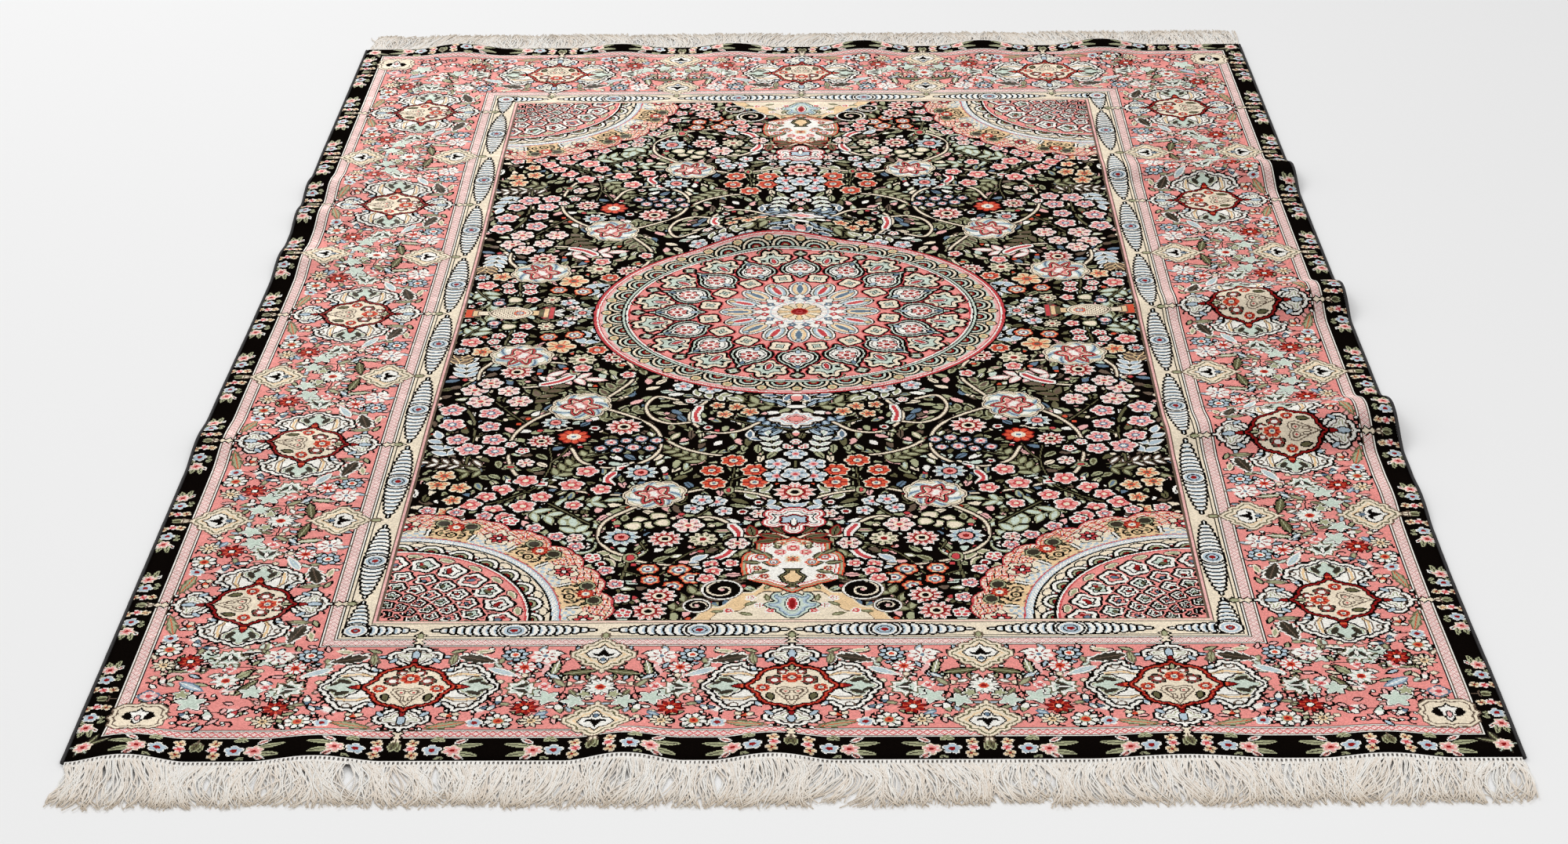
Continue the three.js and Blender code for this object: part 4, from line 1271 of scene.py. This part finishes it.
def make_cloth(ink, material):
    """The pile cloth as one closed slab: two like grids, and a rim with one ring of points between them."""
    across, along = KNOTS["faces_across"], KNOTS["faces_along"]
    top, under = cloth_points()
    wide = across + 1
    number = np.arange(wide * (along + 1)).reshape(along + 1, wide)
    a, b = number[:-1, :-1].ravel(), number[:-1, 1:].ravel()
    c, d = number[1:, 1:].ravel(), number[1:, :-1].ravel()
    rim = np.concatenate([number[0, :-1], number[:-1, -1], number[-1, :0:-1], number[:0:-1, 0]])
    layer = len(top)
    middle = (top[rim] + under[rim]) / 2
    count = len(rim)
    ring = 2 * layer + np.arange(count)
    after = np.roll(np.arange(count), -1)
    quads = np.vstack([
        np.stack([a, b, c, d], 1),
        np.stack([a, d, c, b], 1) + layer,
        np.stack([ring, ring[after], rim[after], rim], 1),
        np.stack([rim + layer, rim[after] + layer, ring[after], ring], 1),
    ])
    cloth = mesh_object("silk_rug", np.vstack([top, under, middle]), quads, material)
    values = packed_knots(ink)
    values = np.vstack([values, values, np.zeros((2 * count, KNOTS["per_face"]))])
    attribute(cloth.data, "knot_rows_low", values[:, :3], "FLOAT_VECTOR", "FACE", "vector")
    attribute(cloth.data, "knot_rows_high", values[:, 3:], "FLOAT_VECTOR", "FACE", "vector")
    # The slope along the rug, from which the pile shader paints shade on rises that face the near end and
    # weakens its painted sheen there
    height = (top[:, 2] - CLOTH["thick"]).reshape(along + 1, wide)
    slope = np.gradient(height, 2 * CLOTH["end"] / along, axis=0).ravel()
    attribute(cloth.data, "slope", np.concatenate([slope, slope, slope[rim]]))
    square = np.array([(0, 0), (1, 0), (1, 1), (0, 1)], float)
    faces = across * along
    back = [0, 3, 2, 1]
    cell = [np.tile(square, (faces, 1)), np.tile(square[back], (faces, 1)), np.full((8 * count, 2), 0.5)]
    uv_map(cloth.data, "cell", np.concatenate(cell))
    column, row = np.tile(np.arange(across), along), np.repeat(np.arange(along), across)
    corner = np.stack([column, row], 1)[:, None, :] + square[None]
    flat = corner / (across, along)
    # On the bake map the top fills the left 83 %, the underside the right 15 %, and the rim lies between
    upper = flat * (0.83, 1.0)
    lower = flat[:, back] * (0.15, 1.0) + (0.85, 0)
    way = np.arange(count) / count
    strip = np.stack([np.stack([np.full(count, u), way + dv / count], 1)
                      for u, dv in ((0.836, 0), (0.836, 1), (0.84, 1), (0.84, 0))], 1)
    bake = [part.reshape(-1, 2) for part in (upper, lower, strip, strip + (0.005, 0))]
    uv_map(cloth.data, "OFBake", np.concatenate(bake))
    return cloth


def make_selvedge(name, side, material):
    """An overcast edge: a cord of ten sides along the cloth, swelling at every wrap of its yarn and leaning
    like a thread wound round it, with slow lumps. Its axis and height, radius and wraps are in mm."""
    stations, sides = 1881, 10
    axis, height, mean_radius, wrap_length = 608.0, 2.0, 1.74, 3.4
    y = np.linspace(-CLOTH["end"], CLOTH["end"], stations)[:, None]
    turn = np.linspace(0, 2 * np.pi, sides, endpoint=False)[None, :]
    rng = np.random.default_rng(11 if side > 0 else 12)
    lumps = sum(0.16 * np.sin(y / span + rng.uniform(0, 6)) for span in (3.1, 7.7, 17.0))
    wrap = 0.17 * np.abs(np.sin(np.pi * y / wrap_length + 0.5 * turn))
    radius = np.clip(mean_radius + wrap + lumps * 0.22, 1.3, 2.0)
    edge = side * CLOTH["side"]
    middle = side * axis + shift(edge, y)
    x = middle + radius * np.cos(turn)
    z = lift(edge, y) + height + radius * np.sin(turn)
    points = np.stack(np.broadcast_arrays(x, y, z), -1).reshape(-1, 3)
    start = np.arange(stations - 1)[:, None] * sides
    first = (start + np.arange(sides)).ravel()
    second = (start + (np.arange(sides) + 1) % sides).ravel()
    quads = np.stack([first, first + sides, second + sides, second], 1)
    caps = np.array([np.arange(sides), (stations - 1) * sides + np.arange(sides)[::-1]])
    return mesh_object(name, points, quads, material, [caps])


# The fringe: yarns at each end, stations along a yarn, then in mm a yarn's radius, where the yarns start and
# how far they reach, the width of a hank, the step between two groups of yarns, and the limit to both sides
FRINGE = dict(yarns=2000, stations=14, radius=0.8, start=943.6, reach=72.0,
              hank=9.0, group=3.7, limit=606.5)


def drift(x, end):
    """Sideways sweep of the yarns, alike for neighbours: two waves along the rug's end."""
    return 9 * np.sin(2 * np.pi * x / 610 + 0.8 * end) + 6 * np.sin(2 * np.pi * x / 230 + 2.1 * end)


def make_fringe(name, end, material):
    """A fringe: thin yarns in hanks that lean each their own way, every yarn a three-sided tube along a path
    that drops from the cloth's edge to the floor and then wanders outwards, and the end line at the roots."""
    rng = np.random.default_rng(21 if end > 0 else 22)
    n, steps = FRINGE["yarns"], FRINGE["stations"]
    edge = CLOTH["side"] - 1.2
    root = np.linspace(-edge, edge, n)
    hank = np.floor((root + rng.uniform(-5, 5, n)) / FRINGE["hank"]).astype(int)
    hank -= hank.min()
    hanks = hank.max() + 1
    soften = np.array([0.5, 1.0, 0.5]) / 1.2
    lean = np.convolve(rng.normal(0, 6, hanks), soften, "same")[hank]
    bend = np.convolve(rng.normal(0, 6, hanks), soften, "same")[hank]
    bundle = np.round(root / FRINGE["hank"]) * FRINGE["hank"]
    gather = (bundle - root) * rng.uniform(-0.1, 0.18, hanks)[hank]
    own = rng.normal(0, 6.0, n)
    wobble = rng.normal(0, 2.2, n)
    curl_in = rng.normal(0, 4.0, n)
    phase = rng.uniform(0, 6.3, n)
    reach = FRINGE["reach"] - np.abs(rng.normal(0, 5, n)) - rng.uniform(0, 9, hanks)[hank]
    stray = rng.random(n) < 0.1
    own = own + stray * rng.normal(0, 14, n)
    t = np.linspace(0, 1, steps)[None, :]
    pinch = np.round(root / FRINGE["group"]) * FRINGE["group"]
    start = root + 0.8 * (pinch - root)
    side = (start[:, None] + (root - start)[:, None] * np.clip(t * 5, 0, 1)
            + (drift(root, end) + lean + own)[:, None] * t**1.5
            + bend[:, None] * np.sin(np.pi * t) + gather[:, None] * t**0.8
            + wobble[:, None] * np.sin(7 * t + phase[:, None])
            + curl_in[:, None] * np.clip(t * 4 - 3, 0, 1) ** 2)
    over = np.abs(side) - FRINGE["limit"]
    side = np.where(over > 0, np.sign(side) * (FRINGE["limit"] + 3 * np.tanh(over / 12)), side)
    fall = np.cos(np.arctan2(np.abs(lean + own)[:, None], 60.0))
    out = FRINGE["start"] + (reach[:, None] - 1.6) * t * fall
    layer = rng.random(n)[:, None] * 1.5 + 0.6
    arch = rng.random(n)[:, None] * 1.5
    high = lift(root, end * CLOTH["end"])[:, None]
    drop = np.clip(1 - t / 0.42, 0, 1)
    drop = drop * drop * (3 - 2 * drop)
    z = (high + 1.7) * drop + layer * (1 - drop) + arch * np.sin(np.pi * np.clip((t - 0.1) / 0.9, 0, 1)) ** 2
    radius = FRINGE["radius"] * np.where(t > 0.88, 0.72, 1.0) * rng.uniform(0.85, 1.12, n)[:, None]
    along = np.gradient(side, axis=1)
    outward = np.gradient(out + 0 * side, axis=1)
    length = np.hypot(along, outward)
    nx, ny = outward / length, -along / length
    turn = rng.uniform(0, 2.1, n)[:, None, None] + np.arange(3)[None, None, :] * 2 * np.pi / 3
    r = radius[:, :, None]
    x = side[:, :, None] + nx[:, :, None] * r * np.cos(turn)
    y = (out + 0 * side)[:, :, None] + ny[:, :, None] * r * np.cos(turn)
    zz = np.maximum(z[:, :, None] + r * np.sin(turn), 0.02)
    points = np.stack([x, end * y, zz], -1).reshape(-1, 3)
    base = np.arange(n)[:, None, None] * (steps * 3) + np.arange(steps - 1)[:, None] * 3
    k = np.arange(3)
    p, q = (base + k).ravel(), (base + (k + 1) % 3).ravel()
    quads = np.stack([p, q, q + 3, p + 3] if end < 0 else [p, p + 3, q + 3, q], 1)
    first = np.arange(n)[:, None] * steps * 3 + k
    last = first + (steps - 1) * 3
    caps = np.vstack([first[:, ::-1], last] if end < 0 else [first, last[:, ::-1]])
    cord, cord_quads, cord_gap = end_cord(end)
    cord_quads = cord_quads + len(points)
    if end < 0:
        cord_quads = cord_quads[:, ::-1]
    everything = np.vstack([points, cord])
    fringe = mesh_object(name, everything, np.vstack([quads, cord_quads]), material, [caps])
    shade = np.concatenate([np.repeat(rng.uniform(0, 1, n), steps * 3), np.full(len(cord), 0.75)])
    tip = np.concatenate([np.tile(np.repeat(np.linspace(0, 1, steps), 3), n), np.zeros(len(cord))])
    gap = np.concatenate([np.zeros(len(points)), cord_gap])
    for label, values in (("shade", shade), ("tip", tip), ("gap", gap)):
        attribute(fringe.data, label, values)
    return fringe


def end_cord(end):
    """The line at the roots: a woven lip along the cloth's edge, seven rows of points that follow a profile,
    with a gap between every two groups of yarns in its fourth and fifth row, dark with painted shade over the
    dark foundation."""
    gap_step = 3.8
    profile = np.array([(-1.2, 1.0), (-0.2, 2.6), (1.2, 3.0), (2.2, 2.5), (4.8, 2.2), (6.0, 2.0), (7.2, 0.9)])
    stations, rows = 1900, len(profile)
    x = np.linspace(-CLOTH["side"], CLOTH["side"], stations)[:, None]
    y = CLOTH["end"] + profile[None, :, 0] + 0 * x
    z = lift(x, end * CLOTH["end"]) + profile[None, :, 1]
    px = x + shift(x, end * CLOTH["end"]) + 0 * y
    points = np.stack(np.broadcast_arrays(px, end * y, z), -1).reshape(-1, 3)
    first = (np.arange(stations - 1)[:, None] * rows + np.arange(rows - 1)).ravel()
    quads = np.stack([first, first + rows, first + rows + 1, first + 1], 1)
    row = np.arange(rows)
    # The gaps get painted shade, over the dark foundation that shows there
    gap = (np.cos(2 * np.pi * x / gap_step) > 0.15) & (row > 2) & (row < 5)
    return points, quads, gap.astype(float).ravel()


# Dyes of the silk, in the order of the chart's numbers, as seen in plain light (0 to 255)
DYES = [
    ("black", 13, 9, 7),
    ("white", 249, 246, 238),
    ("cream", 244, 229, 204),
    ("peach", 240, 206, 160),
    ("pink", 240, 152, 145),
    ("rose", 204, 74, 78),
    ("red", 146, 28, 28),
    ("sky", 184, 202, 214),
    ("slate", 104, 126, 146),
    ("mint", 206, 220, 206),
    ("sage", 172, 174, 138),
    ("olive", 104, 100, 70),
    ("taupe", 108, 90, 76),
    ("mauve", 242, 186, 182),
    ("orange", 222, 88, 60),
    ("moss", 58, 52, 42),
]


def linear(r, g, b):
    """A colour as a shader takes it, from its screen values."""
    c = np.array([r, g, b]) / 255
    return (*np.where(c <= 0.04045, c / 12.92, ((c + 0.055) / 1.055) ** 2.4), 1.0)


class Nodes:
    """Short hand for building a node tree."""

    def __init__(self, tree):
        self.tree = tree

    def add(self, kind, **settings):
        node = self.tree.nodes.new(kind)
        for key, value in settings.items():
            setattr(node, key, value)
        return node

    def link(self, a, b):
        self.tree.links.new(a, b)

    def math(self, operation, a, b=None, c=None, clamp=False):
        node = self.add("ShaderNodeMath", operation=operation, use_clamp=clamp)
        for socket, value in zip(node.inputs, (a, b, c)):
            if isinstance(value, (int, float)):
                socket.default_value = value
            elif value is not None:
                self.link(value, socket)
        return node.outputs[0]

    def mix(self, mode, factor, a, b):
        node = self.add("ShaderNodeMix", data_type="RGBA", blend_type=mode)
        for name, value in (("Factor_Float", factor), ("A_Color", a), ("B_Color", b)):
            socket = next(s for s in node.inputs if s.identifier == name)
            if isinstance(value, (int, float, tuple)):
                socket.default_value = value
            else:
                self.link(value, socket)
        return next(s for s in node.outputs if s.identifier == "Result_Color")


def new_group(name, inputs, outputs):
    tree = bpy.data.node_groups.new(name, "ShaderNodeTree")
    for direction, sockets in (("INPUT", inputs), ("OUTPUT", outputs)):
        for label, kind in sockets:
            tree.interface.new_socket(label, in_out=direction, socket_type=kind)
    return tree


def split(n, source):
    """The three parts of a vector."""
    node = n.add("ShaderNodeSeparateXYZ")
    n.link(source, node.inputs[0])
    return node.outputs


def noise(n, place, scale, detail, stretch=None, roughness=0.5):
    """Noise over object coordinates, which can be stretched first by a factor for each axis."""
    if stretch is not None:
        mapping = n.add("ShaderNodeMapping")
        n.link(place, mapping.inputs["Vector"])
        mapping.inputs["Scale"].default_value = stretch
        place = mapping.outputs["Vector"]
    node = n.add("ShaderNodeTexNoise")
    node.inputs["Scale"].default_value = scale
    node.inputs["Detail"].default_value = detail
    node.inputs["Roughness"].default_value = roughness
    n.link(place, node.inputs["Vector"])
    return node.outputs["Fac"]


def knot_number_group():
    """Reads the number of the knot under a point: the row picks one of six numbers, the column its digit."""
    tree = new_group("Knot number", [], [("Number", "NodeSocketFloat"), ("Knot Height", "NodeSocketFloat")])
    n = Nodes(tree)
    cell = split(n, n.add("ShaderNodeUVMap", uv_map="cell").outputs["UV"])
    place = [n.math("MULTIPLY", cell[k], 6.0) for k in (0, 1)]
    column, row = [n.math("MINIMUM", n.math("MAXIMUM", n.math("FLOOR", p), 0.0), 5.0) for p in place]
    rows = []
    for name in ("knot_rows_low", "knot_rows_high"):
        rows += split(n, n.add("ShaderNodeAttribute", attribute_name=name).outputs["Vector"])
    picked = None
    for k, value in enumerate(rows):
        here = n.math("COMPARE", row, float(k), 0.25)
        term = n.math("MULTIPLY", here, value)
        picked = term if picked is None else n.math("ADD", picked, term)
    power = None
    for k in range(5):
        step = n.math("MULTIPLY_ADD", n.math("GREATER_THAN", column, k + 0.5), 15.0, 1.0)
        power = step if power is None else n.math("MULTIPLY", power, step)
    high = n.math("FLOOR", n.math("DIVIDE", picked, power))
    above = n.math("FLOOR", n.math("DIVIDE", high, 16.0))
    digit = n.math("SUBTRACT", high, n.math("MULTIPLY", above, 16.0))
    out = n.add("NodeGroupOutput")
    n.link(digit, out.inputs["Number"])
    bumps = [n.math("ABSOLUTE", n.math("SINE", n.math("MULTIPLY", p, math.pi))) for p in place]
    n.link(n.math("MULTIPLY", *bumps), out.inputs["Knot Height"])
    return tree


# The step from knot to knot in metres, across and along the rug
KNOT_STEP = (0.0012018, 0.0011959)


def pile_group():
    """Unevenness of dyed silk, from object coordinates: a shade for each knot, yarn lots and brushed pile,
    and
    painted light: painted shade where the cloth rises away from the near end, and a painted sheen (the
    gleam) that is streaky, stronger towards the left and the far end, and weaker on those rises."""
    names = ("Shade", "Painted Sheen", "Pile Height", "Roughness")
    tree = new_group("Silk pile", [], [(name, "NodeSocketFloat") for name in names])
    n = Nodes(tree)
    place = n.add("ShaderNodeTexCoord").outputs["Object"]
    knots = n.add("ShaderNodeMapping")
    n.link(place, knots.inputs["Vector"])
    knots.inputs["Scale"].default_value = (1 / KNOT_STEP[0], 1 / KNOT_STEP[1], 0)
    whole = n.add("ShaderNodeVectorMath", operation="FLOOR")
    n.link(knots.outputs["Vector"], whole.inputs[0])
    white_noise = n.add("ShaderNodeTexWhiteNoise", noise_dimensions="3D")
    n.link(whole.outputs[0], white_noise.inputs["Vector"])
    speck = white_noise.outputs["Value"]
    band = noise(n, place, 1.0, 3.0, (1.5, 30, 0))
    brushed = noise(n, place, 9.0, 4.0)
    # Painted sheen: streaks of paler silk, stronger towards the left and the far end, weaker on rises that
    # face the near end
    streak = noise(n, place, 1.0, 5.0, (34, 62, 0), 0.62)
    gleam = n.math("MULTIPLY_ADD", streak, 3.2, -1.55, clamp=True)
    gleam = n.math("MULTIPLY", gleam, n.math("MULTIPLY_ADD", speck, 0.5, 0.5))
    x, y, _ = split(n, place)
    painted_sheen_gradient = n.math("MULTIPLY_ADD", x, -0.65, n.math("MULTIPLY_ADD", y, 0.6, 0.68))
    slope = n.add("ShaderNodeAttribute", attribute_name="slope").outputs["Fac"]
    facing = n.math("MULTIPLY", slope, 4.0)
    gleam = n.math("MULTIPLY", gleam, n.math("SUBTRACT", painted_sheen_gradient, facing), clamp=True)
    # More painted sheen over the whole rug, growing towards the far end and the left
    even = n.math("MULTIPLY_ADD", x, -0.3, n.math("MULTIPLY", y, 0.28), clamp=True)
    gleam = n.math("ADD", gleam, even, clamp=True)
    shade = n.math("MULTIPLY_ADD", speck, 0.34, 0.82)
    # Painted shade: darker where the cloth rises away from the near end, a little lighter where it falls
    level = n.math("MAXIMUM", slope, -0.1)
    for source, factor, base in ((level, -0.9, 1.0), (band, 0.16, 0.92), (brushed, 0.14, 0.93)):
        shade = n.math("MULTIPLY", shade, n.math("MULTIPLY_ADD", source, factor, base))
    roughness = n.math("MULTIPLY_ADD", brushed, 0.2, 0.42)
    out = n.add("NodeGroupOutput")
    for name, value in zip(names, (shade, gleam, speck, roughness)):
        n.link(value, out.inputs[name])
    return tree


def new_material(name):
    material = bpy.data.materials.new(name)
    material.use_nodes = True
    n = Nodes(material.node_tree)
    shader = material.node_tree.nodes["Principled BSDF"]
    return material, n, shader


def silk_material():
    """Knotted silk: the dye of each knot's number, a little uneven, darker with painted shade on rises that
    face the near end, paler with painted sheen where it gleams, with a bump for every knot."""
    material, n, shader = new_material("knotted silk pile")
    number = n.add("ShaderNodeGroup", node_tree=knot_number_group())
    pile = n.add("ShaderNodeGroup", node_tree=pile_group())
    ramp = n.add("ShaderNodeValToRGB")
    ramp.color_ramp.interpolation = "CONSTANT"
    stops = ramp.color_ramp.elements
    dyes = len(DYES)
    stops[1].position = 1 / dyes
    while len(stops) < dyes:
        stops.new(len(stops) / dyes)
    for k, (_, *rgb) in enumerate(DYES):
        stops[k].position = k / dyes
        stops[k].color = linear(*rgb)
    n.link(n.math("MULTIPLY_ADD", number.outputs["Number"], 1 / dyes, 0.5 / dyes), ramp.inputs["Fac"])
    shade = n.add("ShaderNodeCombineColor")
    for k in range(3):
        n.link(pile.outputs["Shade"], shade.inputs[k])
    dyed = n.mix("MULTIPLY", 1.0, ramp.outputs["Color"], shade.outputs["Color"])
    # Painted sheen: the dye made brighter and mixed towards a warm white, blended in by the gleam, but not on
    # black knots
    bright = n.mix("MULTIPLY", 1.0, dyed, (1.9, 1.9, 1.9, 1.0))
    paler = n.mix("MIX", 0.22, bright, linear(246, 236, 228))
    light = n.math("MULTIPLY", pile.outputs["Painted Sheen"], n.math("GREATER_THAN", number.outputs["Number"], 0.5))
    n.link(n.mix("MIX", n.math("MULTIPLY", light, 0.75), dyed, paler), shader.inputs["Base Color"])
    n.link(pile.outputs["Roughness"], shader.inputs["Roughness"])
    bump = n.add("ShaderNodeBump")
    bump.inputs["Strength"].default_value = 0.5
    bump.inputs["Distance"].default_value = 0.0004
    uneven = n.math("MULTIPLY", pile.outputs["Pile Height"], 0.8)
    n.link(n.math("ADD", number.outputs["Knot Height"], uneven), bump.inputs["Height"])
    n.link(bump.outputs["Normal"], shader.inputs["Normal"])
    shader.inputs["Specular IOR Level"].default_value = 0.0
    return material


def yarn_material():
    """Undyed silk yarn: each yarn its own shade of white, browner at the tip, and dark in the end line's
    gaps, where painted shade lies over the dark foundation.
    """
    material, n, shader = new_material("fringe yarn")
    shade, tip, gap = (n.add("ShaderNodeAttribute", attribute_name=name).outputs["Fac"]
                       for name in ("shade", "tip", "gap"))
    colour = n.mix("MIX", shade, linear(246, 234, 220), linear(255, 254, 250))
    worn = n.mix("MIX", n.math("MULTIPLY", n.math("POWER", tip, 5.0), 0.7), colour, linear(206, 186, 158))
    # Painted shade, over the dark foundation, in the end line's gaps
    n.link(n.mix("MIX", gap, worn, linear(62, 52, 44)), shader.inputs["Base Color"])
    shader.inputs["Roughness"].default_value = 0.75
    shader.inputs["Sheen Weight"].default_value = 0.2
    return material


def overcast_material():
    """The black yarn wound over the long edges, dusty in patches."""
    material, n, shader = new_material("overcast yarn")
    place = n.add("ShaderNodeTexCoord").outputs["Object"]
    dust = n.add("ShaderNodeTexNoise")
    dust.inputs["Scale"].default_value = 420.0
    n.link(place, dust.inputs["Vector"])
    dusty = n.math("MULTIPLY", dust.outputs["Fac"], 0.5)
    n.link(n.mix("MIX", dusty, linear(20, 18, 20), linear(62, 58, 58)), shader.inputs["Base Color"])
    shader.inputs["Roughness"].default_value = 0.8
    return material


def floor_material():
    material, _, shader = new_material("pale floor")
    shader.inputs["Base Color"].default_value = linear(243, 243, 243)
    shader.inputs["Roughness"].default_value = 0.7
    return material


def area_light(name, place, aim, size, power):
    light = bpy.data.lights.new(name, "AREA")
    light.shape = "RECTANGLE"
    light.size, light.size_y = size
    light.energy = power
    lamp = bpy.data.objects.new(name, light)
    lamp.location = place
    direction = np.array(aim, float) - np.array(place, float)
    yaw = math.atan2(direction[1], direction[0]) - math.pi / 2
    tilt = math.atan2(math.hypot(direction[0], direction[1]), -direction[2])
    lamp.rotation_euler = (tilt, 0, yaw)
    bpy.context.scene.collection.objects.link(lamp)


def make_studio():
    """A pale floor, one broad soft light from behind and above, a weaker one from the front, an even sky."""
    reach = 12.0
    corners = [(x * reach, y * reach, 0) for x, y in ((-1, -1), (1, -1), (1, 1), (-1, 1))]
    mesh = bpy.data.meshes.new("floor")
    mesh.from_pydata(corners, [], [(0, 1, 2, 3)])
    mesh.materials.append(floor_material())
    floor = bpy.data.objects.new("floor", mesh)
    bpy.context.scene.collection.objects.link(floor)
    area_light("window light", (-1.6, 2.6, 3.2), (0, 0, 0), (3.0, 2.0), 62)
    area_light("front light", (1.2, -3.0, 3.4), (0, 0, 0), (3.0, 2.0), 52)
    world = bpy.data.worlds.new("even sky")
    world.use_nodes = True
    world.node_tree.nodes["Background"].inputs["Color"].default_value = (1, 1, 1, 1)
    world.node_tree.nodes["Background"].inputs["Strength"].default_value = 0.58
    bpy.context.scene.world = world


def make_camera():
    """The photo's view, from its perspective: a 69 mm lens low over the near end."""
    camera = bpy.data.cameras.new("camera")
    camera.lens = 69.4
    camera.sensor_width = 36
    camera.dof.use_dof = False
    camera.clip_end = 100
    eye = bpy.data.objects.new("camera", camera)
    eye.location = (0.031, -3.092, 1.329)
    eye.rotation_euler = [math.radians(a) for a in (64.73, 0.61, 0.60)]
    bpy.context.scene.collection.objects.link(eye)
    bpy.context.scene.camera = eye


chart = Chart()
lay_bands(chart)
lay_field(chart)
lay_borders(chart)
silk, overcast, yarn = silk_material(), overcast_material(), yarn_material()
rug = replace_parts(make_cloth(chart.ink, silk), "rug")
edges = [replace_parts(make_selvedge(f"edge_{name}", side, overcast), f"selvedge_{name}")
         for name, side in (("left", -1), ("right", 1))]
fringes = [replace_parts(make_fringe(f"fringe_{name}_end", end, yarn), f"fringe_{name}")
           for name, end in (("near", -1), ("far", 1))]
make_studio()
make_camera()
bpy.context.scene.view_settings.view_transform = "Standard"
